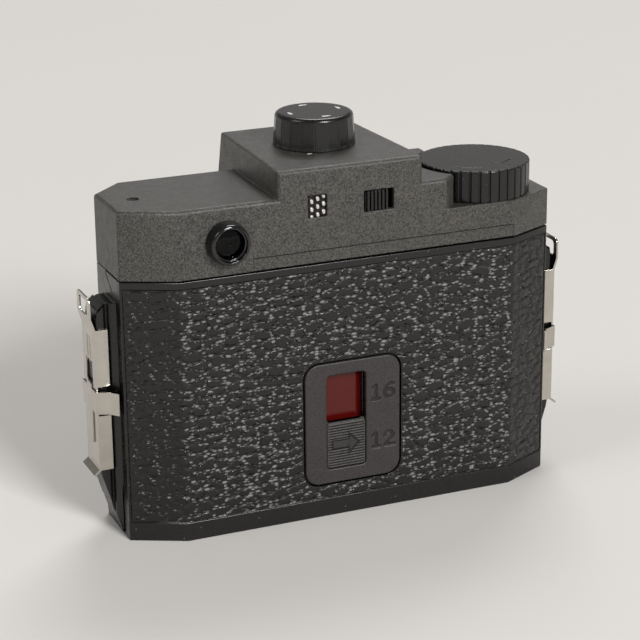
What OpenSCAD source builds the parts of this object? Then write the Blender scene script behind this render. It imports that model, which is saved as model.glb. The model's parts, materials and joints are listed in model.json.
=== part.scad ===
// Medium format roll-film camera with a built-in colour flash
// Millimetres, +Z up, +Y towards the back, +X to the viewer's left when seen from behind
// The origin is the mouth of the tripod socket in the base

/* [Body] */
// Width of the body across its flat sides
body_w = 134; // [132:1:142]
// Depth of the body from its back plane to its front wall
body_d = 36.7; // [36.2:0.1:39]
// Height of the deck above the ceiling over the spools
deck_rise = 28; // [27:0.2:31.4]
// Height of the seam between the back and the top cover above that ceiling
seam_rise = 7.9; // [6.9:0.1:9.9]
// Wall of the mouldings
wall = 2; // [1.8:0.1:2.3]
// Distance from the tripod socket to the back plane
back_y = 20; // [19:0.5:21]
// Width of the chamfer at each side of the back
back_cham_x = 15.2; // [13:0.2:17]
// Depth of the chamfer at each side of the back
back_cham_y = 7.4; // [6.4:0.2:7.8]
// Width of the chamfer at each side of the front
front_cham_x = 8.9; // [6:0.1:10]
// Depth of the chamfer at each side of the front
front_cham_y = 8.4; // [6:0.1:9]
// Place where the back cover's side walls end
split_y = 8.5; // [8.3:0.1:9.2]

/* [Film] */
// Length of a film spool over its flanges
spool_l = 65.8; // [65:0.1:66]
// Diameter of the spool's flanges
spool_d = 25.3; // [24.8:0.1:25.6]
// Diameter of the spool's core
core_d = 12; // [11:0.5:14]
// Distance from the camera's middle to each spool's axis
spool_x = 46.6; // [46.4:0.1:47.4]
// Distance from the back plane to the spools' axes
spool_in = 16.3; // [16:0.1:16.8]
// Distance from each end of the spool to the picture's edge
gate_margin = 4.9; // [4.7:0.1:5.9]
// Distance from the back plane to the film
film_in = 5.5; // [5.2:0.1:6]

/* [Hump] */
// Half of the hump's width at the back
hump_hw = 22.4; // [20:0.2:23]
// Half of the hump's width at the top of its front
nose_hw = 20.4; // [18:0.2:21]
// Height of the hump above the deck
hump_h = 7.8; // [7:0.2:10]
// Reach of the hump in front of the body's front wall
hump_reach = 14.3; // [14:0.1:16]

/* [Winding knob] */
// Diameter of the winding knob
knob_d = 33.2; // [30:0.2:34]
// Height of the knob above its shelf
knob_h = 9.4; // [8:0.2:11]
// Depth of the shelf below the deck
shelf_drop = 8.95; // [8:0.05:10]
// Number of ribs round the knob
knob_ribs = 36; // [24:1:40]

/* [Filter dial] */
// Diameter of the filter dial at its foot
dial_d = 24.2; // [20:0.2:26]
// Height of the filter dial
dial_h = 9.5; // [7:0.5:11]
// Number of flutes round the dial
dial_flutes = 48; // [36:1:60]
// Outer diameter of the filter drum under the hump
drum_d = 34.4; // [33:0.2:35]

/* [Finder] */
// Distance of the finder from the camera's middle
finder_x = 37.7; // [37:0.1:39]
// Depth of the finder's axis below the deck
finder_drop = 10.4; // [10:0.1:11]
// Diameter of the eyepiece ring at its foot
eye_d = 12.7; // [12:0.1:14]
// Reach of the eyepiece ring behind the back plane
eye_reach = 4.1; // [3:0.1:6]

/* [Counter window] */
// Width of the window plate
plate_w = 30.1; // [29:0.1:33]
// Height of the window plate
plate_h = 37.5; // [36:0.1:40]
// Height of the window plate's rim below the opening for the film numbers
plate_rim = 4.4; // [4.1:0.1:5.1]
// Width of the opening for the film numbers
view_w = 12.5; // [10:0.1:13]
// Distance between the two rows of film numbers
row_gap = 14.5; // [14:0.1:15]

/* [Lens] */
// Diameter of the fixed barrel
barrel_d = 54; // [52:0.5:56]
// Diameter of the focus ring
focus_d = 56; // [54:0.5:60]
// Diameter of the lens
lens_d = 18; // [16:0.5:20]
// Way that the lens moves between far and near focus
focus_travel = 3.8; // [3:0.1:4]

/* [Clips] */
// Height of the clip's lower edge above the base
clip_z = 20; // [19:0.5:22]
// Length of the clip without its eyelet
clip_l = 43; // [40:1:46]
// Sheet thickness of the clips
clip_t = 0.6; // [0.5:0.05:0.7]
// Width of the side rail's head
rail_w = 10.3; // [9.5:0.1:11]
// Reach of the side rail from the body's side
rail_reach = 5.6; // [5:0.1:6]

/* [Battery and tripod] */
// Diameter of a battery
cell_d = 14.2; // [13.5:0.1:14.4]
// Length of a battery with its button
cell_l = 50.2; // [49:0.1:50.6]
// Diameter of the tripod socket's bore
tripod_d = 5.1; // [5.1:0.05:5.6]
// Depth of the tripod socket
tripod_l = 8; // [6:0.5:8.5]

/* [Hidden] */
$fn = 72;

// Clearances and small common sizes
cut = 1;
run_fit = 0.05;
fit = 0.15;
seam_gap = 0.3;
boss_t = 1.6;
screw_d = 2.2;
screw_head_d = 3.3;

// Main planes of the body
hw = body_w / 2;
front_y = back_y - body_d;
front_in = front_y + wall;
film_y = back_y - film_in;
spool_y = back_y - spool_in;
floor_t = 2.4;
spool_z = floor_t + 1.2;
film_z = spool_z + spool_l / 2;
gate = spool_l - 2 * gate_margin;
ceil_z = spool_z + spool_l + 1.2;
ceil_t = 2.5;
loft_z = ceil_z + ceil_t;
seam_z = ceil_z + seam_rise;
deck_z = ceil_z + deck_rise;
hump_z = deck_z + hump_h;
shelf_z = deck_z - shelf_drop;
finder_z = deck_z - finder_drop;
lap = wall + fit;
collar_t = 1.3;
collar_z = seam_z + 2.8;
hump_front = front_y - hump_reach;
// Lower edge of the hump's side walls, their lean out towards it at the front, and the step beside them
hump_low_z = deck_z - 8;
hump_lean = 1.6;
step_z = deck_z - 5.6;
step_hw = 26.5;

// Light box between the spools
box_t = 1.5;
gate_hw = gate / 2 + 0.6;
cone_hw = 15.5;
cone_y0 = front_y + 0.5;
cone_y1 = film_y - 2.1;
cone_side = atan((gate_hw - cone_hw) / (cone_y1 - cone_y0));

// Front block and lens, each place measured forward along -Y
block_hw = 26;
block_y = hump_front;
block_z = 5;
light_r = 19;
barrel_r = barrel_d / 2;
barrel_t = 2;
barrel_y = block_y - 11.6;
barrel_back_t = 2;
shutter_y = block_y - 5.5;
shutter_t = 1.5;
web_y = shutter_y - shutter_t - 1.9;
web_t = 1.4;
guide_r = 17.1;
guide_t = 2;
guide_y = web_y - 10.6;
ring_y = barrel_y - 10.2 - focus_travel;
aperture_r = 5.5;
lever_x = -16;
lever_z = 2;
blade_z = -16;
stop_z = 20;
stop_gap = 9.6;

// Side rails and the recess beside them
rail_mid = (split_y - 2.3) - rail_w / 2;
rail_neck = 2.75;
rail_notch = 1;
rail_top = ceil_z;
rail_low = 19;
recess_tip_z = seam_z - 1.3;
recess_tip_y = 0.5;
recess_low_y = 3;
inner_wall_x = hw - 3.5;

// Winding axis
knob_z = shelf_z + 0.1;
shaft_r = 4;
knob_clear = 1;

// Board over the spools, and the places of its four posts
board_z = loft_z + 5.2;
board_t = 1.6;
post_x = 24;
post_y = [front_in + 5.7, back_y - 10];

// Dial axis and drum
dial_x = 0.2;
dial_y = back_y - 26.5;
dial_shaft_r = 3.5;
drum_z = board_z + board_t + 3.1;
drum_top = hump_z - wall - 1;
drum_t = 1.2;
filter_t = 0.4;
filter_r = drum_d / 2 - drum_t / 2 - filter_t;
post_angle = 16;

// Counter window
plate_x = -0.2;
plate_t = 1.4;
plate_gap = 0.5;
plate_face = back_y - 0.1;
plate_r = 4.5;
view_x = 1.85;
slider_h = 14;
view_h = slider_h + row_gap + 0.7;
view_z = film_z - slider_h / 2 - row_gap - 0.4;
plate_z = view_z - plate_rim;
plate_mid = plate_z + plate_h / 2;
well_t = 3;
well_face = back_y - wall - well_t;
track_y = plate_face - plate_t - 1.6;
red_t = 0.8;

// Clips
clip_out = hw + rail_reach + 0.1 + clip_t;
clip_w = rail_w + 0.2 + 2 * 0.5;
clip_step = 1.1;
eyelet_z = clip_z + clip_l;
eyelet_h = 9.6;
slot_w = 7.5;
slot_h = 4.5;
right_drop = 1.2;

// Tunnel of the finder
tunnel_w = 15;
tunnel_h = 11;

// Screws that hold the top cover, with the deck height over each; the second is hidden under the knob
cover_screw_at = [[hw - 8.2, back_y - 17.7, deck_z], [-spool_x + 10.4, spool_y - 9.6, shelf_z]];
cover_seat_z = shelf_z - 1.9;
housing_screw_at = [for (sx = [-1, 1], sz = [-1, 1]) [sx * 15.5, sz * 15.5]];

// Batteries, their contacts and the wires above them
cell_gap = 0.2;
cell_y = front_in + cell_d / 2 + 0.1;
cell_x = cone_hw + box_t + (cell_y - cone_y0) * tan(cone_side) + (cell_d / 2 + cell_gap) / cos(cone_side);
cell_z = film_z - cell_l / 2 + 0.4;
contact_t = 0.5;
shelf_t = 1.5;
wire_x = cell_x - 3.4;
wire_y = cell_y + 3.6;
wire_r = 0.6;

// Sockets, pins and keys
tripod_r_out = 5.2;
pin_r = 2.2;
spool_top = spool_z + spool_l;
key_w = 9.4;
key_t = 2.2;
bore_r = 3.3;

// Openings in the back and front of the top cover
ready_x0 = 7.5;
ready_x1 = 13.1;
ready_z0 = deck_z - 6.6;
ready_z1 = deck_z - 0.4;
switch_w = 7;
switch_travel = 2.1;
switch_x1 = -4;
switch_x0 = switch_x1 - switch_w - switch_travel - 0.1;
switch_z0 = deck_z - 6.8;
switch_z1 = deck_z - 0.7;
flash_z = deck_z - 6.1;
flash_w = 34;
flash_h = 19;
eye_tube_r = 5.2;

// Flash
reflector_hw = 12;
reflector_r = 7.4;
tube_y = dial_y - 2;
tube_r = 1.7;

// Panel, lens cell and clip places
panel_depth = 0.35;
panel_hw = hw - 0.7;
flange_y = ring_y - 0.2;
cell_wall = 2.5;
lens_front_r = 20;
lens_rear_r = 38;
lens_edge_t = 3.38;
lens_seat = 9.98;
clip_mid = rail_mid;

// Colours as photographed
black = [0.09, 0.085, 0.09];
grain = [0.2, 0.195, 0.19];
steel = [0.78, 0.77, 0.74];
brass = [0.75, 0.6, 0.3];
clear = [0.8, 0.85, 0.85, 0.5];

// Corners of the body's outline, moved inwards by t along every side
function outline(t) =
  let (
    back_side = atan(back_cham_x / back_cham_y),
    front_side = atan(front_cham_x / front_cham_y),
    yb = back_y - back_cham_y - t * tan(back_side / 2),
    xb = hw - back_cham_x - t * tan((90 - back_side) / 2),
    yf = front_y + front_cham_y + t * tan(front_side / 2),
    xf = hw - front_cham_x - t * tan((90 - front_side) / 2)
  )
  [
    [hw - t, yf], [hw - t, yb], [xb, back_y - t], [-xb, back_y - t],
    [-(hw - t), yb], [-(hw - t), yf], [-xf, front_y + t], [xf, front_y + t]
  ];

// Solid with the body's outline between two heights
module slab(z0, z1, t = 0) {
  translate([0, 0, z0]) linear_extrude(z1 - z0) polygon(outline(t));
}

// Shape drawn in X and Z, between two places along Y
module along_y(y0, y1) {
  translate([0, y1, 0]) rotate([90, 0, 0]) linear_extrude(y1 - y0) children();
}

// Shape drawn in Y and Z, between two places along X
module along_x(x0, x1) {
  translate([x0, 0, 0]) rotate([90, 0, 90]) linear_extrude(x1 - x0) children();
}

module disc_y(x, z, r, y0, y1) {
  along_y(y0, y1) translate([x, z]) circle(r);
}

module rod_z(x, y, r, z0, z1) {
  translate([x, y, z0]) cylinder(r = r, h = z1 - z0);
}

module block(x0, x1, y0, y1, z0, z1) {
  translate([x0, y0, z0]) cube([x1 - x0, y1 - y0, z1 - z0]);
}

// Rectangle with round corners, centred on the origin
module round_rect(w, h, r) {
  square([w - 2 * r, h], center = true);
  square([w, h - 2 * r], center = true);
  for (sx = [-1, 1], sz = [-1, 1]) translate([sx * (w / 2 - r), sz * (h / 2 - r)]) circle(r);
}

module both_sides() {
  children();
  mirror([1, 0, 0]) children();
}

// Square funnel along Y round the optical axis, with half widths h0 at y0 and h1 at y1
module funnel(y0, h0, y1, h1) {
  intersection() {
    translate([0, 0, film_z - gate]) linear_extrude(2 * gate)
      polygon([[-h0, y0], [h0, y0], [h1, y1], [-h1, y1]]);
    along_x(-gate, gate)
      polygon([[y0, film_z - h0], [y0, film_z + h0], [y1, film_z + h1], [y1, film_z - h1]]);
  }
}

// Edge of the side wall where front moulding and back cover meet, moved towards the back by d
function side_edge(d) = [
  [recess_low_y + d, -cut], [recess_low_y + d, 4], [split_y + d, 16], [split_y + d, rail_top + 0.4],
  [recess_tip_y + d, recess_tip_z], [recess_tip_y + d, seam_z + cut]
];

// Region behind that edge, between two places along X
module behind_edge(x0, x1, d) {
  along_x(x0, x1) polygon(concat(side_edge(d), [[back_y + cut, seam_z + cut], [back_y + cut, -cut]]));
}

module rail_profile() {
  head = rail_w / 2;
  neck = head - rail_notch;
  polygon([
    [hw - 1, rail_mid - neck], [hw + rail_neck, rail_mid - neck], [hw + rail_neck, rail_mid - head],
    [hw + rail_reach - 0.6, rail_mid - head], [hw + rail_reach, rail_mid - head + 0.6],
    [hw + rail_reach, rail_mid + head - 0.6], [hw + rail_reach - 0.6, rail_mid + head],
    [hw + rail_neck, rail_mid + head], [hw + rail_neck, rail_mid + neck],
    [hw + 1.8, rail_mid + neck], [hw + 1.8, rail_mid + head], [hw, split_y - fit], [hw - 1, split_y - fit]
  ]);
}

// Rail for a clip, with a rounded shoulder and a long slanted foot
module rail() {
  intersection() {
    linear_extrude(seam_z) rail_profile();
    along_y(-body_d, body_d) polygon([
      [hw - cut, 1], [hw + 0.3, 1], [hw + rail_reach, rail_low], [hw + rail_reach, rail_top - 5],
      [hw + rail_reach - 0.7, rail_top - 2.2], [hw + rail_reach - 2.4, rail_top - 0.5],
      [hw + rail_reach - 3.6, rail_top], [hw - cut, rail_top]
    ]);
  }
}

// Moulded shell, floor and ceiling, before the inner forms are added
module front_shell() {
  difference() {
    union() {
      difference() {
        slab(0, seam_z);
        behind_edge(-hw - cut, hw + cut, -fit);
      }
      slab(0, floor_t, lap);
      slab(ceil_z, collar_z, lap);
    }
    slab(floor_t, ceil_z, wall);
    slab(loft_z, collar_z + cut, lap + collar_t);
  }
}

// Inner side wall that keeps light out behind the recess, and carries the rail
module side_wall() {
  block(inner_wall_x - wall, inner_wall_x, rail_mid - rail_w / 2, split_y + 2.6, floor_t / 2, loft_z);
  block(inner_wall_x - wall, hw - 0.1, rail_mid - rail_w / 2, split_y - 2.3, floor_t / 2, rail_top);
}

module front_block() {
  difference() {
    along_y(block_y, front_in) {
      translate([0, (block_z + seam_z) / 2]) round_rect(2 * block_hw, seam_z - block_z, 5);
      translate([-block_hw, film_z]) square([2 * block_hw, seam_z - film_z]);
    }
    disc_y(0, film_z, light_r, block_y - cut, front_y);
  }
}

// Ribs beside a battery, and a shelf at each of its ends
module battery_cradle() {
  for (z = [film_z - 18, film_z, film_z + 18])
    block(cell_x + cell_d / 2 + 0.15, cell_x + cell_d / 2 + 1.4, front_in - 0.5, cell_y - 2, z - 2, z + 2);
  for (z = [cell_z - contact_t - shelf_t, cell_z + cell_l + contact_t])
    block(cell_x - 7.5, cell_x + 6.5, front_in - 0.5, cell_y + 5, z, z + shelf_t);
}

module front_body() {
  color(black) difference() {
    union() {
      front_shell();
      both_sides() side_wall();
      both_sides() rail();
      front_block();
      funnel(cone_y1, gate_hw + box_t, cone_y0, cone_hw + box_t);
      both_sides() battery_cradle();
      rod_z(0, 0, tripod_r_out + boss_t, floor_t / 2, tripod_l + boss_t);
      for (p = cover_screw_at) rod_z(p[0], p[1], 3, ceil_z + 1, board_z - 1.2);
      for (sx = [-1, 1], y = post_y) rod_z(sx * post_x, y, 2.4, ceil_z + 1, board_z);
    }
    // room for the side walls of the back cover
    both_sides() behind_edge(hw - lap, hw + 0.1, -fit);
    funnel(film_y - 2, gate_hw, front_y, cone_hw);
    rod_z(0, 0, tripod_r_out, -cut, tripod_l);
    rod_z(-spool_x, spool_y, shaft_r + run_fit, ceil_z - cut, loft_z + cut);
    rod_z(spool_x, spool_y, pin_r, ceil_z - cut, loft_z + cut);
    for (sx = [-1, 1]) rod_z(sx * spool_x, spool_y, pin_r, -cut, floor_t + cut);
    for (p = cover_screw_at) rod_z(p[0], p[1], screw_d / 2, ceil_z + 1.2, board_z);
    for (p = housing_screw_at) disc_y(p[0], film_z + p[1], screw_d / 2, block_y - cut, block_y + 7.5);
    both_sides() rod_z(wire_x, wire_y, wire_r + fit, cell_z + cell_l, loft_z + cut);
  }
}

// Area on the knob's side where the cover is low, grown by d
module shelf_area(d) {
  translate([-spool_x, spool_y]) circle(knob_d / 2 + knob_clear + d);
  polygon([
    [-29.9 + d, back_y + cut], [-29.9 + d, back_y], [-spool_x + 12.5 + d, spool_y + 12.3],
    [-spool_x + 8.7 + d, spool_y - 16.4], [-spool_x + 8.7 + d, front_y - cut],
    [-hw - cut, front_y - cut], [-hw - cut, back_y + cut]
  ]);
}

// The two levels of the cover as one solid, moved inwards by t
module cover_levels(t, z0) {
  slab(z0, shelf_z - t, t);
  difference() {
    slab(z0, deck_z - t, t);
    translate([0, 0, z0 - cut]) linear_extrude(hump_z) shelf_area(t);
  }
}

// Hump that narrows towards the top of its front, with a step in front of the deck, moved inwards by t
module hump(t, z0) {
  top = nose_hw - t;
  foot = top + hump_lean;
  hull() {
    block(-hump_hw + t, hump_hw - t, back_y - t - 0.1, back_y - t, hump_low_z, hump_z - t);
    along_y(hump_front + t, hump_front + t + 0.1)
      polygon([[top, hump_z - t], [foot, hump_low_z], [-foot, hump_low_z], [-top, hump_z - t]]);
  }
  block(-step_hw + t, step_hw - t, hump_front + t, front_y + wall + 1, z0, step_z - t);
}

module finder_openings() {
  disc_y(finder_x, finder_z, eye_tube_r + run_fit, back_y - wall - cut, back_y + cut);
  block(finder_x - tunnel_w / 2 + 1.2, finder_x + tunnel_w / 2 - 1.2, front_y - cut, front_in + cut,
        finder_z - tunnel_h / 2 + 1.2, finder_z + tunnel_h / 2 - 1.2);
}

module top_cover() {
  color(grain) difference() {
    union() {
      cover_levels(0, seam_z);
      hump(0, seam_z);
    }
    difference() {
      union() {
        cover_levels(wall, seam_z - cut);
        hump(wall, seam_z - cut);
      }
      for (p = cover_screw_at) rod_z(p[0], p[1], 3.2, board_z - 1, p[2]);
    }
    // shallow band along the lower edge of the back face
    block(-52, 30, back_y - 0.3, back_y + cut, seam_z - cut, seam_z + 3.8);
    finder_openings();
    block(ready_x0, ready_x1, back_y - wall - cut, back_y + cut, ready_z0, ready_z1);
    block(switch_x0, switch_x1, back_y - wall - cut, back_y + cut, switch_z0, switch_z1);
    along_y(hump_front - cut, hump_front + wall + cut) translate([0, flash_z])
      square([flash_w, flash_h], center = true);
    rod_z(dial_x, dial_y, dial_shaft_r + run_fit, hump_z - wall - cut, hump_z + cut);
    rod_z(-spool_x, spool_y, shaft_r + run_fit, shelf_z - wall - cut, shelf_z + cut);
    for (p = cover_screw_at) {
      rod_z(p[0], p[1], screw_head_d / 2 + 0.1, cover_seat_z, p[2] + cut);
      rod_z(p[0], p[1], screw_d / 2 + fit, board_z - 2, shelf_z);
    }
  }
}

// Box round the view, wider by dx and higher by dz at each side
module view_box(dx, dz, y0, y1) {
  block(view_x - view_w / 2 - dx, view_x + view_w / 2 + dx, y0, y1, view_z - dz, view_z + view_h + dz);
}

// Back cover: a tray whose side walls reach forward to the rails
module back_cover() {
  color(black) difference() {
    union() {
      intersection() {
        difference() {
          slab(0, seam_z - seam_gap);
          slab(-cut, seam_z, wall);
        }
        behind_edge(-hw - cut, hw + cut, 0);
      }
      both_sides() block(inner_wall_x + fit, hw - 1, split_y + 0.01, split_y + 1.6, 16.5, rail_top);
      // raised well that holds the slider and the red window
      along_y(well_face, back_y - wall + 0.5) translate([plate_x, plate_mid])
        round_rect(plate_w + 4, plate_h + 4, 6);
      // ribs that stiffen the back beside the film
      both_sides() for (x = [24, 29])
        block(x, x + 1.2, back_y - wall - 1.4, back_y - wall + 0.2, 6, seam_z - 12);
    }
    // recessed panel that carries the grain
    difference() {
      slab(5.7, seam_z - 2.5, -cut);
      slab(5, seam_z - 1.5, panel_depth);
      both_sides() block(panel_hw, hw + cut, -body_d, body_d, 0, seam_z);
    }
    // pocket of the window plate
    along_y(plate_face - plate_t, back_y + cut) translate([plate_x, plate_mid])
      round_rect(plate_w + 2 * plate_gap, plate_h + 2 * plate_gap, plate_r + plate_gap);
    // track of the slider
    view_box(1.7, 1.5, track_y, plate_face);
    // view through to the film
    view_box(0, 0, well_face - cut, plate_face);
    // seat of the red window
    view_box(2, 2, well_face - cut, well_face + red_t);
  }
}

module window_plate() {
  color(grain) difference() {
    along_y(plate_face - plate_t + 0.02, plate_face) translate([plate_x, plate_mid])
      round_rect(plate_w, plate_h, plate_r);
    view_box(0, 0, plate_face - plate_t - cut, plate_face + cut);
  }
}

// Slider with fine cross ribs, shown at the lower of its two places
module counter_slider() {
  slider_x = view_x - view_w / 2 + 0.15;
  slider_z = view_z + 0.2;
  rib_n = 17;
  pitch = slider_h / rib_n;
  color(grain) difference() {
    union() {
      block(slider_x - 1.3, slider_x + view_w + 1, track_y + 0.1, plate_face - plate_t - 0.1,
            slider_z, slider_z + slider_h);
      block(slider_x, slider_x + view_w - 0.3, track_y + 0.1, plate_face - 0.2,
            slider_z, slider_z + slider_h);
    }
    for (i = [1:rib_n - 1])
      block(slider_x - 0.1, slider_x + view_w, plate_face - 0.5, plate_face,
            slider_z + i * pitch - 0.2, slider_z + i * pitch + 0.2);
  }
}

module red_window() {
  color([0.45, 0.08, 0.06, 0.8])
    view_box(1.9, 1.9, well_face + 0.02, well_face + red_t - 0.02);
}

// Soft frame round the view on the film side
module window_foam() {
  color([0.15, 0.15, 0.15]) along_y(well_face - 0.4, well_face - 0.02) difference() {
    translate([view_x, view_z + view_h / 2]) round_rect(view_w + 11, view_h + 7, 2);
    translate([view_x, view_z + view_h / 2]) round_rect(view_w + 4.4, view_h + 4.4, 1);
  }
}

// Turned ring with a coned outside, a rounded lip and a seat for the lens
module eyepiece_ring() {
  r0 = eye_d / 2;
  r1 = r0 - 0.65;
  lip = 0.7;
  color(black) translate([finder_x, back_y, finder_z]) rotate([-90, 0, 0]) rotate_extrude() {
    difference() {
      union() {
        polygon([
          [0, 0], [r0, 0], [r1, eye_reach - lip], [r1 - lip, eye_reach - lip], [0, eye_reach - lip]
        ]);
        translate([r1 - lip, eye_reach - lip]) circle(lip, $fn = 32);
        translate([0, eye_reach - lip]) square([r1 - lip, lip]);
        translate([0, -wall - 1.5]) square([eye_tube_r, wall + 2]);
      }
      translate([-cut, 0.5]) square([4.35 + cut, eye_reach + cut]);
      translate([-cut, -wall - 3]) square([3.6 + cut, eye_reach + wall + 3]);
      translate([-cut, eye_reach - 1.2]) square([4.75 + cut, 3]);
      translate([-eye_d, -eye_d]) square([eye_d, 3 * eye_d]);
    }
  }
}

module eyepiece_lens() {
  lens_t = 2.1;
  dome_r = 14;
  color(clear) translate([finder_x, back_y + 0.52, finder_z]) rotate([-90, 0, 0]) rotate_extrude()
    intersection() {
      square([4.3, lens_t]);
      translate([0, lens_t - dome_r]) circle(dome_r, $fn = 720);
    }
}

// Straight tunnel from the front lens to the eyepiece
module finder_tunnel() {
  color(black) difference() {
    along_y(front_in + 0.02, back_y - wall - 1.6) translate([finder_x, finder_z])
      round_rect(tunnel_w, tunnel_h, 1.5);
    along_y(front_in - cut, back_y - wall - 3) translate([finder_x, finder_z])
      square([tunnel_w - 2.4, tunnel_h - 2.4], center = true);
    disc_y(finder_x, finder_z, 4.4, back_y - wall - 4, back_y);
    for (z = [-1, 1]) block(finder_x - 2, finder_x + 2, front_in - cut, front_in + 2.1,
                            finder_z + z * (tunnel_h / 2) - 0.7, finder_z + z * (tunnel_h / 2) + 0.7);
  }
}

// Hollow-ground front lens that makes the finder's picture smaller
module finder_front_lens() {
  color(clear) difference() {
    along_y(front_y + 0.4, front_in + 1.6) translate([finder_x, finder_z])
      square([tunnel_w - 2.6, tunnel_h - 2.6], center = true);
    translate([finder_x, front_in + 1.6 + 25, finder_z]) sphere(26, $fn = 240);
  }
}

// Clear window of the ready lamp: three columns of small round lights
module ready_window() {
  w = ready_x1 - ready_x0 - 0.2;
  h = ready_z1 - ready_z0 - 0.2;
  column = w / 3;
  x_mid = (ready_x0 + ready_x1) / 2;
  z_mid = (ready_z0 + ready_z1) / 2;
  color(clear) {
    block(x_mid - w / 2, x_mid + w / 2, back_y - 1.7, back_y - 0.9, z_mid - h / 2, z_mid + h / 2);
    for (i = [-1:1]) intersection() {
      rod_z(x_mid + i * column, back_y - 1.1, column / 2 - 0.05, z_mid - h / 2, z_mid + h / 2, $fn = 32);
      block(x_mid - w, x_mid + w, back_y - 1.2, back_y, z_mid - h, z_mid + h);
    }
    block(x_mid - w / 2 - 1, x_mid + w / 2 + 1, back_y - wall - 0.8, back_y - wall - 0.02,
          z_mid - h / 2 - 1, z_mid + h / 2 + 1);
    block(x_mid - w / 2, x_mid + w / 2, back_y - wall - 0.1, back_y - 1.6, z_mid - h / 2, z_mid + h / 2);
  }
}

module ready_lamp() {
  lamp_r = 2;
  x = (ready_x0 + ready_x1) / 2;
  y = back_y - wall - 3.6;
  color([0.9, 0.5, 0.3]) {
    rod_z(x, y, lamp_r, board_z + board_t + 0.5, ready_z1 - 3);
    translate([x, y, ready_z1 - 3]) sphere(lamp_r, $fn = 48);
    for (s = [-1, 1]) rod_z(x + s, y, 0.3, board_z + board_t, board_z + board_t + 0.6, $fn = 24);
  }
}

// Small slide switch: five ribs, and a plate behind the wall that hides the slot
module flash_switch() {
  x1 = switch_x1 - 0.15;
  x0 = x1 - switch_w;
  z0 = switch_z0 + 0.15;
  z1 = switch_z1 - 0.15;
  rib_n = 5;
  color(black) difference() {
    union() {
      block(x0, x1, back_y - wall - 0.5, back_y + 0.35, z0, z1);
      block(x0 - 1.2, x1 + 2, back_y - wall - 1.4, back_y - wall - 0.1, z0 - 1, z1 + 1);
      block(x0 + 2, x1 - 2, back_y - wall - 3.4, back_y - wall - 1.2, collar_z + 0.2, z1);
      block(x0 + 2, x1 - 2, back_y - wall - 3.4, back_y - wall - 1.7, board_z + board_t + 0.1, z1);
    }
    for (i = [0:rib_n]) translate([x0 + 0.6 + i * 1.15, back_y - 0.5, z0 - 0.1])
      cube([0.45, 1.5, z1 - z0 + 0.2]);
  }
}

// Ribbed light-spreading window in the front of the hump
module flash_window() {
  color(clear) {
    along_y(hump_front + 0.3, hump_front + wall + 0.1) translate([0, flash_z])
      square([flash_w - 0.2, flash_h - 0.2], center = true);
    along_y(hump_front + wall + 0.02, hump_front + wall + 1) translate([0, flash_z]) difference() {
      square([flash_w + 3, flash_h + 3], center = true);
      square([flash_w - 1, flash_h - 1], center = true);
    }
  }
}

// Trough mirror round the tube, with two cheeks and a foot that stands on the board
module flash_reflector() {
  cheek_t = 0.8;
  color(steel) {
    along_x(dial_x - reflector_hw, dial_x + reflector_hw) translate([tube_y, flash_z]) difference() {
      circle(reflector_r);
      circle(reflector_r - 0.7);
      translate([-2 * reflector_r, -reflector_r]) square([1.7 * reflector_r, 2 * reflector_r]);
    }
    for (s = [-1, 1]) translate([s * (reflector_hw - cheek_t / 2), 0, 0])
      along_x(dial_x - cheek_t / 2, dial_x + cheek_t / 2) translate([tube_y, flash_z]) difference() {
        circle(reflector_r);
        circle(tube_r + run_fit);
        translate([-2 * reflector_r, -reflector_r]) square([1.7 * reflector_r, 2 * reflector_r]);
      }
    block(dial_x - 4, dial_x + 4, tube_y + 1, tube_y + 5, board_z + board_t, flash_z - reflector_r + 1.2);
  }
}

module flash_tube() {
  cap_t = 1.4;
  color(clear) along_x(dial_x - reflector_hw - 0.2, dial_x + reflector_hw + 0.2)
    translate([tube_y, flash_z]) circle(tube_r);
  color(steel) for (s = [-1, 1]) translate([s * (reflector_hw + 0.1 + cap_t / 2), 0, 0])
    along_x(dial_x - cap_t / 2, dial_x + cap_t / 2) translate([tube_y, flash_z]) circle(tube_r + 0.4);
}

// Fluted dial with a rounded rim, and its shaft down into the hump
module filter_dial() {
  r0 = dial_d / 2;
  r1 = r0 - 0.7;
  rim = 1.5;
  color(black) translate([dial_x, dial_y, 0]) {
    difference() {
      translate([0, 0, hump_z + 0.1]) rotate_extrude($fn = 96) {
        polygon([[0, 0], [r0, 0], [r1, dial_h - rim], [r1 - rim, dial_h - rim], [0, dial_h - rim]]);
        intersection() {
          translate([r1 - rim, dial_h - rim]) circle(rim, $fn = 48);
          square([r0, dial_h + rim]);
        }
        translate([0, dial_h - rim - 0.1]) square([r1 - rim, rim + 0.1]);
      }
      for (i = [0:dial_flutes - 1]) rotate(i * 360 / dial_flutes)
        translate([r0 + 0.15, 0, hump_z + 0.9]) cylinder(r = 0.45, h = dial_h - rim - 1.2, $fn = 16);
    }
    translate([0, 0, drum_top - drum_t - 2])
      cylinder(r = dial_shaft_r, h = hump_z - drum_top + drum_t + 2.2);
  }
}

// Drum that carries the colour filters round the flash
module filter_drum() {
  r = drum_d / 2;
  color(black) translate([dial_x, dial_y, 0]) difference() {
    union() {
      translate([0, 0, drum_z]) difference() {
        cylinder(r = r, h = drum_top - drum_z);
        translate([0, 0, -cut]) cylinder(r = r - drum_t, h = drum_top - drum_z + 2 * cut);
      }
      translate([0, 0, drum_top - drum_t]) cylinder(r = r, h = drum_t);
      translate([0, 0, drum_top - drum_t - 2])
        cylinder(r = dial_shaft_r + 1.6, h = hump_z - wall - 0.1 - drum_top + drum_t + 2);
    }
    translate([0, 0, drum_top - drum_t - 3]) cylinder(r = dial_shaft_r + 0.01, h = 12);
    for (k = [0:3]) rotate(k * 90 + 45 + post_angle / 2 - 180) rotate_extrude(angle = 90 - post_angle)
      translate([r - 2 * drum_t, drum_z + 1.5]) square([3 * drum_t, drum_top - drum_z - drum_t - 1.5]);
  }
}

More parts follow.
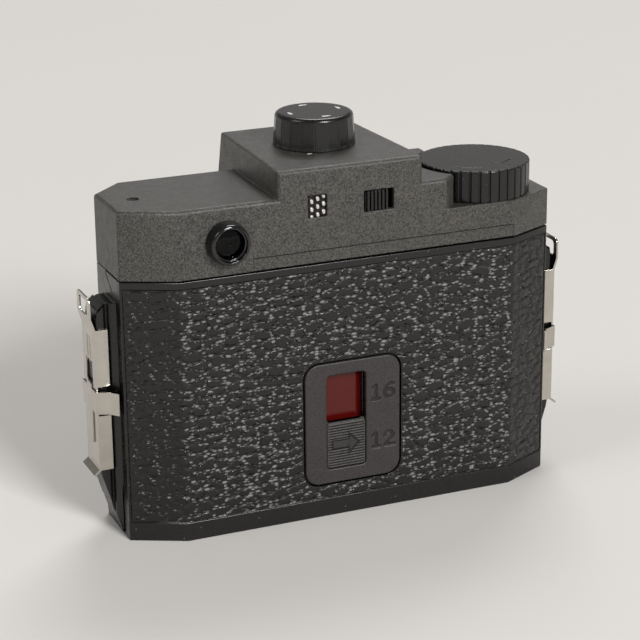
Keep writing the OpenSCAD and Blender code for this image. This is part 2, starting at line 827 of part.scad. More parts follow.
module filter(k) {
  translate([dial_x, dial_y, 0]) rotate(k * 90 + 45 + post_angle / 2 - 180 + 0.1)
    rotate_extrude(angle = 90 - post_angle - 0.2)
      translate([filter_r, drum_z + 1.5]) square([filter_t, drum_top - drum_z - drum_t - 1.55]);
}

module filter_red() {
  color([0.8, 0.1, 0.1, 0.6]) filter(1);
}

module filter_yellow() {
  color([0.9, 0.8, 0.1, 0.6]) filter(2);
}

module filter_blue() {
  color([0.1, 0.2, 0.8, 0.6]) filter(3);
}

// Board on four posts, cut back for the hump's front
module circuit_board() {
  color([0.35, 0.4, 0.2]) difference() {
    block(-27, 27, front_in + 2, back_y - wall - 1.8, board_z, board_z + board_t);
    for (sx = [-1, 1], y = post_y) rod_z(sx * post_x, y, 0.8, board_z - cut, board_z + 3);
  }
}

module flash_capacitor() {
  r = 5.4;
  x = finder_x + 12.4;
  y0 = front_y + lap + collar_t + 1;
  y1 = back_y - lap - collar_t - 2.8;
  color([0.12, 0.14, 0.3]) disc_y(x, loft_z + r + 0.05, r, y0, y1);
  color(steel) disc_y(x, loft_z + r + 0.05, r - 1, y1 - 0.1, y1 + 0.5);
}

// Wound transformer on its square core
module flash_transformer() {
  color([0.55, 0.35, 0.12]) {
    block(-26.5, -18.5, back_y - 13.5, back_y - 5.5, board_z + board_t, board_z + board_t + 1.6);
    rod_z(-22.5, back_y - 9.5, 3.2, board_z + board_t + 1.5, board_z + board_t + 7);
    block(-26.5, -18.5, back_y - 13.5, back_y - 5.5, board_z + board_t + 6.9, board_z + board_t + 8.5);
  }
}

// Leads from the battery contacts up to the board
module flash_wires() {
  color([0.6, 0.1, 0.1]) both_sides()
    rod_z(wire_x, wire_y, wire_r, cell_z + cell_l + contact_t + 0.02, board_z - 0.05);
}

// Two leaves that the lever closes to fire the flash, in their block on the shutter plate
module sync_contact() {
  color(brass) for (z = [-7, -8.2])
    block(-23, -12, shutter_y + 1, shutter_y + 3, film_z + z - 0.15, film_z + z + 0.15);
  color([0.3, 0.2, 0.15]) difference() {
    block(-13, -9.5, shutter_y + 0.02, shutter_y + 3.3, film_z - 9.6, film_z - 5.6);
    for (z = [-7, -8.2])
      block(-14, -11.9, shutter_y + 0.99, shutter_y + 3.01, film_z + z - 0.16, film_z + z + 0.16);
  }
}

// Hollow knob with flat ribs, pressed on its shaft
module winding_knob() {
  r = knob_d / 2;
  color(black) translate([-spool_x, spool_y, knob_z]) difference() {
    union() {
      cylinder(r = r - 0.5, h = knob_h, $fn = 96);
      cylinder(r = r, h = knob_h - 0.5, $fn = 96);
    }
    difference() {
      translate([0, 0, -cut]) cylinder(r = r - 2.2, h = knob_h - 2 + cut);
      cylinder(r = shaft_r + 2.4, h = knob_h);
    }
    translate([0, 0, -cut]) cylinder(r = shaft_r + 0.01, h = knob_h - 2 + cut);
    for (i = [0:knob_ribs - 1]) rotate(i * 360 / knob_ribs)
      translate([r - 0.6, -0.3, -cut]) cube([2, 0.6, knob_h + 2 * cut]);
  }
}

// Shaft of the knob, ending in a flat key and a pin that enter the spool
module winding_shaft() {
  color(steel) translate([-spool_x, spool_y, 0]) {
    translate([0, 0, spool_top + 0.3]) cylinder(r = shaft_r, h = knob_z + knob_h - 2.1 - spool_top - 0.3);
    translate([-key_w / 2, -key_t / 2, spool_top - 3.6]) cube([key_w, key_t, 4.4]);
    translate([0, 0, spool_top - 7]) cylinder(r = bore_r - 0.08, h = 7.5);
  }
}

// Saw-toothed wheel that keeps the knob from turning back
module ratchet_wheel() {
  teeth = 18;
  r0 = 6.1;
  r1 = 7;
  step = 360 / teeth;
  color(steel) translate([-spool_x, spool_y, loft_z + 0.1]) difference() {
    linear_extrude(2.5) polygon([for (i = [0:teeth - 1], k = [0, 1])
      let (r = k == 0 ? r1 : r0, a = i * step + k * 0.85 * step) [r * cos(a), r * sin(a)]]);
    translate([0, 0, -cut]) cylinder(r = shaft_r + 0.01, h = 5);
  }
}

// Leaf whose end rests between the teeth
module ratchet_pawl() {
  from = [-spool_x - 12.6, spool_y - 7.2];
  to = [-spool_x - 7.2 * cos(20), spool_y - 7.2 * sin(20)];
  d = to - from;
  color(steel) {
    rod_z(from[0], from[1], 1.6, loft_z, loft_z + 3);
    translate([from[0], from[1], loft_z + 0.4]) rotate(atan2(d[1], d[0])) translate([0, -0.2, 0])
      cube([norm(d), 0.4, 2.2]);
  }
}

// Empty spool that takes up the film
module takeup_spool() {
  flange_t = 1.3;
  color([0.12, 0.12, 0.12]) translate([-spool_x, spool_y, spool_z]) difference() {
    union() {
      cylinder(d = core_d, h = spool_l);
      for (z = [0, spool_l - flange_t]) translate([0, 0, z]) cylinder(d = spool_d, h = flange_t);
    }
    for (z = [-cut, spool_l - 9]) translate([0, 0, z]) cylinder(r = bore_r, h = 9 + cut);
    for (z = [-cut, spool_l - 4]) translate([-key_w / 2 - 0.5, -key_t / 2 - 0.2, z])
      cube([key_w + 1, key_t + 0.4, 4 + cut]);
    translate([-core_d, -0.8, 13]) cube([2 * core_d, 1.6, spool_l - 26]);
  }
}

// Pins that carry the spools: two below and one above
module spool_pins() {
  color(steel) {
    for (x = [-spool_x, spool_x]) {
      rod_z(x, spool_y, pin_r - 0.01, 0.3, floor_t + 0.1);
      rod_z(x, spool_y, pin_r + 1.8, floor_t, spool_z - 0.15);
      rod_z(x, spool_y, bore_r - 0.08, spool_z - 0.2, spool_z + 5);
    }
    rod_z(spool_x, spool_y, pin_r - 0.01, ceil_z - 0.1, loft_z - 0.3);
    rod_z(spool_x, spool_y, pin_r + 1.8, spool_top + 0.15, ceil_z);
    rod_z(spool_x, spool_y, bore_r - 0.08, spool_top - 5, spool_top + 0.2);
  }
}

// Insert that sets the picture's size, with two rails for the film
module film_mask() {
  mask_hw = gate_hw + box_t + 1.8;
  mask_hh = (ceil_z - floor_t) / 2 - 2.2;
  y0 = cone_y1 + 0.02;
  color(black) difference() {
    union() {
      along_y(y0, film_y - 0.6) translate([0, film_z]) round_rect(2 * mask_hw, 2 * mask_hh, 2);
      for (s = [-1, 1]) along_y(film_y - 0.7, film_y - 0.1)
        translate([0, film_z + s * (mask_hh - 1.9)]) square([2 * mask_hw, 1.2], center = true);
    }
    along_y(y0 - cut, film_y + cut) translate([0, film_z]) round_rect(gate, gate, 1);
  }
}

module battery(s) {
  nub_l = 1.4;
  z0 = s > 0 ? cell_z : cell_z + nub_l;
  translate([s * cell_x, cell_y, 0]) {
    color([0.15, 0.3, 0.2]) translate([0, 0, z0]) cylinder(d = cell_d, h = cell_l - nub_l);
    color(steel) translate([0, 0, s > 0 ? cell_z + cell_l - nub_l - 0.1 : cell_z])
      cylinder(r = 2.7, h = nub_l + 0.1);
  }
}

module battery_left() {
  battery(1);
}

module battery_right() {
  battery(-1);
}

module battery_contacts() {
  color(steel) for (s = [-1, 1], z = [cell_z - contact_t + 0.03, cell_z + cell_l + 0.03])
    translate([s * cell_x, cell_y, z]) linear_extrude(contact_t - 0.06) difference() {
      square([9, 9], center = true);
      circle(1.3);
    }
}

// Fixed barrel: back plate, outer tube and the inner guide of the lens cell
module lens_housing() {
  color(black) difference() {
    union() {
      difference() {
        disc_y(0, film_z, barrel_r, barrel_y, block_y - 0.02);
        disc_y(0, film_z, barrel_r - barrel_t, barrel_y - cut, block_y - barrel_back_t);
        disc_y(0, film_z, cone_hw - 1.5, block_y - barrel_back_t - cut, block_y + cut);
      }
      difference() {
        union() {
          disc_y(0, film_z, barrel_r - barrel_t + 0.1, web_y - web_t, web_y);
          disc_y(0, film_z, guide_r + guide_t, guide_y, web_y);
        }
        disc_y(0, film_z, guide_r, guide_y - cut, web_y + cut);
      }
      for (a = [10, 60, 300]) translate([0, 0, film_z]) rotate([0, -a, 0]) translate([22, 0, -film_z])
        disc_y(0, film_z, 2, shutter_y + 0.02, block_y - barrel_back_t + 0.1);
    }
    block(-barrel_r - cut, -barrel_r + barrel_t + 1, shutter_y + 0.3, block_y - barrel_back_t - 0.2,
          film_z - 5, film_z + 6);
    block(-6.5, 6.5, web_y + 0.1, shutter_y - shutter_t - 0.1, film_z + 20, film_z + barrel_r + cut);
    block(-4.6, 4.6, shutter_y + 0.4, block_y - barrel_back_t - 0.3,
          film_z - barrel_r - cut, film_z - 22);
    for (p = housing_screw_at) disc_y(p[0], film_z + p[1], screw_d / 2 + 0.1, block_y - 4, block_y + cut);
  }
}

// Plate with the stop, and the pins that the blade, lever and aperture lever turn on
module shutter_plate() {
  color(steel) {
    difference() {
      disc_y(0, film_z, barrel_r - barrel_t - 0.1, shutter_y - shutter_t, shutter_y);
      disc_y(0, film_z, aperture_r, shutter_y - shutter_t - cut, shutter_y + cut);
    }
    disc_y(lever_x, film_z + lever_z, 1.5, shutter_y - 0.1, shutter_y + 3.1);
    disc_y(0, film_z + blade_z, 1.2, shutter_y - 0.1, shutter_y + 0.9);
    disc_y(0, film_z + stop_z, 1.2, shutter_y - shutter_t - 1.5, shutter_y - shutter_t + 0.1);
  }
}

// Thin blade that covers the stop and swings aside on its pin
module shutter_blade() {
  color([0.1, 0.1, 0.11]) along_y(shutter_y + 0.15, shutter_y + 0.5) translate([0, film_z]) difference() {
    union() {
      circle(aperture_r + 1);
      translate([-2.5, blade_z]) square([5, -blade_z]);
      translate([0, blade_z]) circle(2.9);
    }
    translate([0, blade_z]) circle(1.2 + run_fit);
  }
}

// Lever that the finger presses down, with a ribbed pad outside the barrel
module shutter_lever() {
  y0 = shutter_y + 0.9;
  pad_x = -barrel_r - 6.4;
  color(black) difference() {
    union() {
      disc_y(lever_x, film_z + lever_z, 3.2, y0, y0 + 1.7);
      block(pad_x + 1, lever_x, y0, y0 + 1.7, film_z + lever_z - 2.2, film_z + lever_z + 2.2);
      block(pad_x, -barrel_r - 1.8, shutter_y - 1, block_y - 1.5,
            film_z + lever_z - 4, film_z + lever_z + 3.6);
    }
    disc_y(lever_x, film_z + lever_z, 1.5 + run_fit, y0 - cut, y0 + 3);
    for (i = [0:2])
      block(pad_x + 0.8 + i * 1.2, pad_x + 1.3 + i * 1.2, shutter_y - 2, block_y,
            film_z + lever_z + 3.2, film_z + lever_z + 4);
  }
}

// Hairpin spring round the lever's pin
module shutter_spring() {
  spring_r = 0.2;
  y = shutter_y + 2.85;
  color(steel) {
    translate([lever_x, y, film_z + lever_z]) rotate([90, 0, 0]) rotate_extrude()
      translate([1.9, 0]) circle(spring_r, $fn = 24);
    for (turn = [100, 210]) translate([lever_x, y, film_z + lever_z]) rotate([0, turn, 0])
      translate([0, 0, 1.9]) cylinder(r = spring_r - 0.03, h = 5, $fn = 24);
  }
}

// Swinging plate with a large and a small stop, moved by a knob on top of the barrel
module aperture_lever() {
  half = asin(stop_gap / 2 / stop_z);
  y1 = shutter_y - shutter_t - 0.35;
  color(black) translate([0, 0, film_z + stop_z]) rotate([0, half, 0]) translate([0, 0, -film_z - stop_z]) {
    along_y(y1 - 0.8, y1) translate([0, film_z + stop_z]) difference() {
      union() {
        for (s = [-1, 1]) rotate(s * half) {
          translate([0, -stop_z]) circle(s > 0 ? aperture_r + 1.3 : aperture_r - 0.4);
          translate([-2, -stop_z]) square([4, stop_z]);
        }
        circle(2.6);
        translate([-1.6, 0]) square([3.2, barrel_r - stop_z + 2]);
      }
      circle(1.2 + run_fit);
      rotate(half) translate([0, -stop_z]) circle(aperture_r + 0.3);
      rotate(-half) translate([0, -stop_z]) circle(aperture_r - 2.2);
    }
    block(-2.2, 2.2, y1 - 2.4, y1 + 1.6, film_z + barrel_r + 0.8, film_z + barrel_r + 4);
  }
}

// Small slide under the barrel for normal or long exposure
module time_switch() {
  y0 = shutter_y + 0.7;
  color(black) {
    block(-4.4, -0.4, y0, y0 + 1.9, film_z - barrel_r - 2.2, film_z - 22.4);
    block(-7.4, 2.6, y0 - 0.3, y0 + 2.4, film_z - 23.6, film_z - 22.1);
  }
}

// Ring that the fingers turn to focus, riding on the barrel's guide
module focus_ring() {
  r = focus_d / 2;
  grips = 40;
  color(black) difference() {
    disc_y(0, film_z, r, ring_y, barrel_y - 0.5);
    disc_y(0, film_z, r - 2.4, ring_y - cut, barrel_y - 3.5);
    disc_y(0, film_z, guide_r + guide_t + run_fit, ring_y, barrel_y + cut);
    for (i = [0:grips - 1]) translate([0, 0, film_z]) rotate([0, i * 360 / grips, 0])
      disc_y(r + 0.5, 0, 1.1, ring_y + 1.2, ring_y + 9.5);
  }
}

// Tube that slides in the guide and holds the lens, with a broad front flange
module lens_cell() {
  r = guide_r - run_fit;
  color(black) difference() {
    union() {
      disc_y(0, film_z, r, flange_y + 1, web_y - web_t - 0.6);
      disc_y(0, film_z, focus_d / 2 - 2.8, flange_y, flange_y + 2);
    }
    disc_y(0, film_z, r - cell_wall, flange_y - cut, flange_y + 6);
    disc_y(0, film_z, lens_d / 2 + 0.05, flange_y, flange_y + 10);
    disc_y(0, film_z, lens_d / 2 - 1, flange_y, flange_y + 12);
    disc_y(0, film_z, r - cell_wall, flange_y + 12 - 0.5, web_y);
  }
}

// Single meniscus with its round face forward
module lens_element() {
  y1 = flange_y + lens_seat;
  y0 = y1 - lens_edge_t;
  color(clear) difference() {
    intersection() {
      disc_y(0, film_z, lens_d / 2, y0, y1);
      translate([0, y0 + lens_front_r, film_z]) sphere(lens_front_r, $fn = 96);
    }
    translate([0, y1 + lens_rear_r - 1, film_z]) sphere(lens_rear_r, $fn = 96);
  }
}

// Coned ring in front of the lens
module lens_bezel() {
  r = guide_r - run_fit - cell_wall;
  color(black) translate([0, flange_y - 0.02, film_z]) rotate([90, 0, 0]) rotate_extrude($fn = 96)
    polygon([
      [focus_d / 2 - 3.4, 0], [focus_d / 2 - 3.4, 0.8], [focus_d / 2 - 3.8, 1.2], [r + 3, 1.2],
      [r - 0.6, 0.2], [lens_d / 2 + 0.6, -5], [lens_d / 2 - 0.4, -5.9], [r - 0.1, -5.9], [r - 0.1, 0]
    ]);
}

module tripod_bush() {
  color(brass) difference() {
    rod_z(0, 0, tripod_r_out - 0.02, 0, tripod_l);
    rod_z(0, 0, tripod_d / 2, -cut, tripod_l - 1);
  }
}

// Folded steel channel with an eyelet, drawn for the +X side
module clip() {
  x0 = clip_out - clip_t;
  lip_x = hw + rail_neck - 0.65;
  half = clip_w / 2;
  fold_t = 0.5;
  eye_z = eyelet_z + eyelet_h;
  color(steel) {
    difference() {
      intersection() {
        along_y(clip_mid - half, clip_mid + half) polygon([
          [x0, clip_z + 0.6], [x0, eyelet_z], [x0 + clip_step, eyelet_z + 3.5], [x0 + clip_step, eye_z],
          [clip_out + clip_step, eye_z], [clip_out + clip_step, eyelet_z + 3.3], [clip_out, eyelet_z - 0.2],
          [clip_out, clip_z + 0.9], [clip_out + 1.8, clip_z - 0.6], [clip_out + 1.4, clip_z - 1.1]
        ]);
        along_x(x0 - 1, clip_out + 4) translate([clip_mid, (clip_z - 2 + eye_z) / 2])
          round_rect(clip_w, eye_z - clip_z + 2, 1.6);
      }
      along_x(x0 - 1, clip_out + 4) translate([clip_mid, eye_z - slot_h / 2 - 1.2])
        round_rect(slot_w, slot_h, 1);
      along_x(x0 - 1, clip_out + 1) translate([clip_mid, clip_z + 29.7]) square([6, 6.6], center = true);
    }
    for (s = [-1, 1], zr = [[clip_z + 0.6, clip_z + 17.3], [clip_z + 26, eyelet_z]]) {
      flank = clip_mid + s * (half - fold_t / 2);
      lip = clip_mid + s * (half - fold_t - 0.35);
      block(lip_x, clip_out, flank - fold_t / 2, flank + fold_t / 2, zr[0], zr[1]);
      block(lip_x, lip_x + 0.55, lip - 0.5, lip + 0.5, zr[0], zr[1]);
    }
  }
}

// Strip on the clip, with two fingers that bend round towards the back cover and the front
module clip_spring() {
  x0 = clip_out + 0.02;
  t = 0.4;
  y1 = clip_mid + clip_w / 2;
  color(steel) {
    along_x(x0, x0 + t) translate([clip_mid, clip_z + 17.2]) round_rect(4.4, 18.5, 1);
    for (s = [0, 1]) translate([0, s * 2 * clip_mid, clip_z + 18.2]) mirror([0, s, 0])
      linear_extrude(6.7) polygon([
        [x0, clip_mid - 2], [x0, y1 + 0.2], [x0 - 3.4, y1 + 1.7], [hw + 0.8, y1 + 4.4], [hw + 1.1, y1 + 4.6],
        [x0 - 3.1, y1 + 2.1], [x0 + t, y1 + 0.5], [x0 + t, clip_mid - 2]
      ]);
  }
}

// Turns a piece of the +X side to the -X side, where the clip sits a little lower
module turned() {
  translate([0, 2 * clip_mid, -right_drop]) rotate(180) children();
}

module clip_left() {
  clip();
}

module clip_right() {
  turned() clip();
}

module clip_spring_left() {
  clip_spring();
}

module clip_spring_right() {
  turned() clip_spring();
}

module cover_screws() {
  color(steel) for (p = cover_screw_at) {
    rod_z(p[0], p[1], screw_d / 2 - 0.01, ceil_z + 1.6, cover_seat_z + 0.1);
    rod_z(p[0], p[1], screw_head_d / 2, cover_seat_z + 0.02, cover_seat_z + 1.4);
  }
}

module housing_screws() {
  y = block_y - barrel_back_t;
  color(steel) for (p = housing_screw_at) {
    disc_y(p[0], film_z + p[1], screw_d / 2 - 0.01, y - 0.1, block_y + 7);
    disc_y(p[0], film_z + p[1], screw_head_d / 2, y - 1.3, y - 0.02);
  }
}

front_body();
top_cover();
back_cover();
window_plate();
counter_slider();
red_window();
window_foam();
eyepiece_ring();
eyepiece_lens();
finder_tunnel();
finder_front_lens();
ready_window();
ready_lamp();
flash_switch();
flash_window();
flash_reflector();
flash_tube();
filter_dial();
filter_drum();
filter_red();
filter_yellow();
filter_blue();
circuit_board();
flash_capacitor();
flash_transformer();
flash_wires();
sync_contact();
winding_knob();
winding_shaft();
ratchet_wheel();
ratchet_pawl();
takeup_spool();
spool_pins();
film_mask();
battery_left();
battery_right();
battery_contacts();
lens_housing();
shutter_plate();
shutter_blade();
shutter_lever();
shutter_spring();
aperture_lever();
time_switch();
focus_ring();
lens_cell();
lens_element();
lens_bezel();
tripod_bush();
clip_left();
clip_right();
clip_spring_left();
clip_spring_right();
cover_screws();
housing_screws();
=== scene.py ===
"""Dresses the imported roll-film camera for its portrait: grained back, marked controls, plated clips, stage.

Lengths in the classes are in millimetres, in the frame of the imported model: +X to the left of someone who
looks at the back, +Y towards that person and +Z up. They are turned to metres where a mesh is made.
"""

import json
import logging
import math
from dataclasses import dataclass, field
from enum import Enum

import bmesh
import bpy
import numpy as np
from mathutils import Matrix, Vector

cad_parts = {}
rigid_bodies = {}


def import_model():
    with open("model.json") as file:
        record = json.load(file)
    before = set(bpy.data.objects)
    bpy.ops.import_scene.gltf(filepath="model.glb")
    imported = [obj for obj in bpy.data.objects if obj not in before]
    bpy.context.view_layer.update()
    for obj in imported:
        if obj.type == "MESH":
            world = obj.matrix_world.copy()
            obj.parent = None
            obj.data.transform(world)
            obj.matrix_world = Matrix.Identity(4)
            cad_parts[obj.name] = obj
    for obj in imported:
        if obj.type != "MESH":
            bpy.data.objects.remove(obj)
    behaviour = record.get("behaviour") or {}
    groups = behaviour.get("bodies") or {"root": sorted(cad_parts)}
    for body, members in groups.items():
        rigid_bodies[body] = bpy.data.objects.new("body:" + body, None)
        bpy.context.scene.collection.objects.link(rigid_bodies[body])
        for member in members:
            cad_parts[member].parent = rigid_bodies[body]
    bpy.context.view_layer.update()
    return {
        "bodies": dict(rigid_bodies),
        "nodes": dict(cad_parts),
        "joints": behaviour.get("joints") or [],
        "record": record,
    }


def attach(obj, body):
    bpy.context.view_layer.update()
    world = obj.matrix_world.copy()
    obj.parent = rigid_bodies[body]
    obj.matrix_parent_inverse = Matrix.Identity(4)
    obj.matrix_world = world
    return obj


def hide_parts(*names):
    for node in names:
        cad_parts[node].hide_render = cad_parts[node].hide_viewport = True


LOG = logging.getLogger("camera")
MM = 0.001
TURN = 2 * math.pi
Array = np.ndarray
Socket = bpy.types.NodeSocket
Pair = tuple[float, float]
Triple = tuple[float, float, float]
Colour = tuple[float, float, float, float]


# Materials

# Stretch of the leather's beads along each axis
BEAD_STRETCH = (0.62, 1.0, 1.3)
# Smallest and largest reach of a bead, and its flat top, as shares of a cell
BEAD_REACH = (0.5, 0.85)
BEAD_TOP = 0.08
# Heights between which a bead's top goes over to its painted highlight colour
GLINT_HEIGHTS = (0.28, 0.7)
# How much rougher the places under a piece's painted shade mask are
SHADE_MASK_DULLING = 0.35
# Size of the grains that carry the painted sparkle, of the streaks and between the seeds of the dust, in mm
PAINTED_SPARKLE_SIZE = 0.44
STREAK_SIZE = 1.6
DUST_SIZE = 3.2
DUST_COLOUR = "#9a958e"


class Making(Enum):
    """How a surface was made, which decides the form of its finest relief."""

    MOULDED = "slow waves of a polished mould"
    SPARK_ERODED = "pits and points of a spark-eroded mould"
    BRUSHED_UP = "scratches that run up and down"
    TURNED = "rings round an upright axis"
    CELLS = "open cells of a foam"
    WOUND = "turns of a wire"
    BEADED = "rows of small beads in the creases of a leather pattern"


@dataclass(frozen=True)
class Relief:
    """One layer of fine relief: how it was made, the size of its grains and its depth, both in mm."""

    making: Making
    size: float
    depth: float


@dataclass(frozen=True)
class Finish:
    """A real material with the surface that its making gave it.

    Attributes:
        name: the material's name in plain words.
        colour: its main colour, sRGB hex.
        shade: the colour that it drifts to in blotches, sRGB hex.
        rough: its lowest and highest roughness.
        reliefs: the layers of fine relief.
        blotch: size of the colour and gloss blotches, in mm.
        metallic: 1 for bare metal.
        ior: refractive index, left at the default for metals.
        coat: weight of a glossy skin.
        clear: share of light that goes through.
        scuffs: share of the surface that handling has dulled.
        painted_shade_colour: colour of the painted shade that a piece puts in its creases, grooves, sunk
            strokes and gaps, sRGB hex.
        dust: how much the specks of dust show, from 0 to 1.
        painted_sparkle: how far the finest grains are painted lighter and darker, as painted glints and
            shade, as a share of the colour.
        bead_highlight: colour of the painted highlight on the beads' tops, sRGB hex.
    """

    name: str
    colour: str
    shade: str
    rough: Pair
    reliefs: tuple[Relief, ...] = ()
    blotch: float = 9.0
    metallic: float = 0.0
    ior: float = 1.5
    coat: float = 0.0
    clear: float = 0.0
    scuffs: float = 0.0
    painted_shade_colour: str = ""
    dust: float = 0.0
    painted_sparkle: float = 0.0
    bead_highlight: str = ""


def linear(code: str) -> Colour:
    """Turns an sRGB hex colour, written #rrggbb, into the linear colour that shaders take."""
    c = np.array([int(code[i : i + 2], 16) for i in (1, 3, 5)]) / 255.0
    c = np.where(c <= 0.04045, c / 12.92, ((c + 0.055) / 1.055) ** 2.4)
    return (float(c[0]), float(c[1]), float(c[2]), 1.0)


@dataclass
class Nodes:
    """The nodes of one tree, with short ways to those that are used over and over."""

    tree: bpy.types.NodeTree

    def add(self, kind: str, inputs: dict | None = None, **settings) -> bpy.types.Node:
        """Adds one node.

        Args:
            kind: the node's type name.
            inputs: socket name or number to a value, or to an output socket that is linked to it.
            **settings: properties of the node.

        Returns:
            The new node.
        """
        node = self.tree.nodes.new(kind)
        for name, value in settings.items():
            setattr(node, name, value)
        for key, value in (inputs or {}).items():
            if isinstance(value, Socket):
                self.tree.links.new(value, node.inputs[key])
            else:
                node.inputs[key].default_value = value
        return node

    def noise(self, place: Socket, size: float, detail: float, roughness: float) -> Socket:
        """Noise with grains of the given size in mm."""
        inputs = {"Vector": place, "Scale": 1.0 / (size * MM), "Detail": detail, "Roughness": roughness}
        return self.add("ShaderNodeTexNoise", inputs).outputs["Fac"]

    def seeds(self, place: Socket, size: float, scatter: float = 1.0) -> bpy.types.NodeOutputs:
        """Distance to the nearest of seeds scattered about size mm apart, and that seed's own colour."""
        inputs = {"Vector": place, "Scale": 1.0 / (size * MM), "Randomness": scatter}
        return self.add("ShaderNodeTexVoronoi", inputs).outputs

    def span(self, value: Socket, *limits: float | Socket, form: str = "LINEAR") -> Socket:
        """Moves a value from between two limits to between two others, which are 0 and 1 if left out."""
        inputs = dict(enumerate((value, *limits)))
        return self.add("ShaderNodeMapRange", inputs, interpolation_type=form).outputs[0]

    def mix(self, share: Socket, first: Socket | Colour, second: Colour) -> Socket:
        """Goes from one colour to another by a share."""
        inputs = {"Factor": share, 6: first, 7: second}
        return self.add("ShaderNodeMix", inputs, data_type="RGBA").outputs[2]

    def math(self, operation: str, *values: Socket | float, clamp: bool = False) -> Socket:
        """One sum, product or comparison."""
        inputs = dict(enumerate(values))
        return self.add("ShaderNodeMath", inputs, operation=operation, use_clamp=clamp).outputs[0]

    def stretched(self, place: Socket, scale: Triple, turn: Triple = (0.0, 0.0, 0.0)) -> Socket:
        """Places scaled along each axis, then turned."""
        return self.add("ShaderNodeMapping", {"Vector": place, "Scale": scale, "Rotation": turn}).outputs[0]

    def parts(self, place: Socket) -> bpy.types.NodeOutputs:
        """X, Y and Z of a place or a colour."""
        return self.add("ShaderNodeSeparateXYZ", {0: place}).outputs

    def shade_mask(self) -> Socket:
        """How much painted shade the piece puts at each place, read from its attribute."""
        return self.add("ShaderNodeAttribute", attribute_name="shade_mask").outputs["Fac"]


def relief_height(nodes: Nodes, coords: Socket, relief: Relief) -> Socket:
    """Adds the pattern of one relief layer.

    Args:
        nodes: the material's nodes.
        coords: place on the object, in metres.
        relief: the layer.

    Returns:
        The socket that holds the height, from 0 to 1.
    """
    making, size = relief.making, relief.size
    if making is Making.MOULDED:
        return nodes.noise(coords, size, 1.5, 0.4)
    if making is Making.SPARK_ERODED:
        return nodes.noise(coords, size, 3.0, 0.75)
    if making is Making.BRUSHED_UP:
        return nodes.noise(nodes.stretched(coords, (1.0, 1.0, 0.02)), size, 2.0, 0.6)
    if making is Making.CELLS:
        return nodes.seeds(coords, size)["Distance"]
    if making is Making.BEADED:
        beads = nodes.seeds(nodes.stretched(coords, BEAD_STRETCH), size, 0.8)
        reach = nodes.span(nodes.parts(beads["Color"])["X"], 0.0, 1.0, *BEAD_REACH)
        dome = nodes.span(beads["Distance"], reach, BEAD_TOP)
        return nodes.math("MULTIPLY", dome, nodes.shade_mask())
    bands = {"Vector": coords, "Scale": 1.0 / (size * MM * TURN), "Distortion": 0.4, "Detail": 1.0}
    if making is Making.WOUND:
        form = {"wave_type": "BANDS", "bands_direction": "Z"}
    else:
        form = {"wave_type": "RINGS", "rings_direction": "Z"}
    return nodes.add("ShaderNodeTexWave", bands, **form).outputs["Fac"]


def build_material(finish: Finish) -> bpy.types.Material:
    """Builds the node material of a finish, on Object coordinates.

    The colour goes between the two given ones along a soft noise, the roughness along a finer one, and
    each relief layer is a bump of its own depth. Scuffs are sparse streaks that change the gloss alone,
    dust is the close surroundings of scattered seeds, and painted shade in hollows comes from the piece's
    attribute. The finest grains may carry a painted sparkle, and the beads' tops a painted highlight.

    Args:
        finish: the finish.

    Returns:
        The material.
    """
    material = bpy.data.materials.new(finish.name)
    material.use_nodes = True
    material.node_tree.nodes.clear()
    nodes = Nodes(material.node_tree)
    coords = nodes.add("ShaderNodeTexCoord").outputs["Object"]
    blotches = nodes.noise(coords, finish.blotch, 4.0, 0.6)
    tone = nodes.mix(blotches, linear(finish.colour), linear(finish.shade))
    rough = nodes.span(nodes.noise(coords, finish.blotch / 2.7, 5.0, 0.65), 0.3, 0.7, *finish.rough)
    if finish.scuffs > 0:
        along = nodes.stretched(coords, (1.0, 0.7, 0.25), (0.3, 0.5, 0.2))
        streaks = nodes.noise(along, STREAK_SIZE, 6.0, 0.7)
        rough = nodes.math("ADD", rough, nodes.span(streaks, 0.62, 0.72, 0.0, finish.scuffs), clamp=True)
    # Painted shade: where the piece's mask says so, the colour goes darker and the gloss duller.
    if finish.painted_shade_colour:
        shade_mask = nodes.shade_mask()
        tone = nodes.mix(shade_mask, tone, linear(finish.painted_shade_colour))
        rough = nodes.math("MULTIPLY_ADD", shade_mask, SHADE_MASK_DULLING, rough, clamp=True)
    # Painted sparkle: the finest grains are painted lighter and darker, standing in for their glints and
    # shade.
    if finish.painted_sparkle > 0:
        grains = nodes.noise(coords, PAINTED_SPARKLE_SIZE, 1.0, 0.5)
        gain = nodes.span(grains, 0.32, 0.68, 1.0 - finish.painted_sparkle, 1.0 + finish.painted_sparkle)
        tone = nodes.add("ShaderNodeVectorMath", {0: tone, "Scale": gain}, operation="SCALE").outputs[0]
    if finish.dust > 0:
        specks = nodes.span(nodes.seeds(coords, DUST_SIZE)["Distance"], 0.045, 0.06, finish.dust, 0.0)
        tone = nodes.mix(specks, tone, linear(DUST_COLOUR))
    normal: dict[str, Socket] = {}
    for relief in finish.reliefs:
        height = relief_height(nodes, coords, relief)
        # Painted highlight: the tops of the beads take a pale colour, standing in for their glints.
        if relief.making is Making.BEADED:
            tone = nodes.mix(nodes.span(height, *GLINT_HEIGHTS), tone, linear(finish.bead_highlight))
        bump = {"Height": height, "Distance": relief.depth * MM, "Strength": 1.0, **normal}
        normal = {"Normal": nodes.add("ShaderNodeBump", bump).outputs[0]}
    surface = {
        "Base Color": tone, "Roughness": rough, "Metallic": finish.metallic, "IOR": finish.ior,
        "Coat Weight": finish.coat, "Transmission Weight": finish.clear, **normal,
    }
    shader = nodes.add("ShaderNodeBsdfPrincipled", surface)
    nodes.add("ShaderNodeOutputMaterial", {"Surface": shader.outputs[0]})
    return material


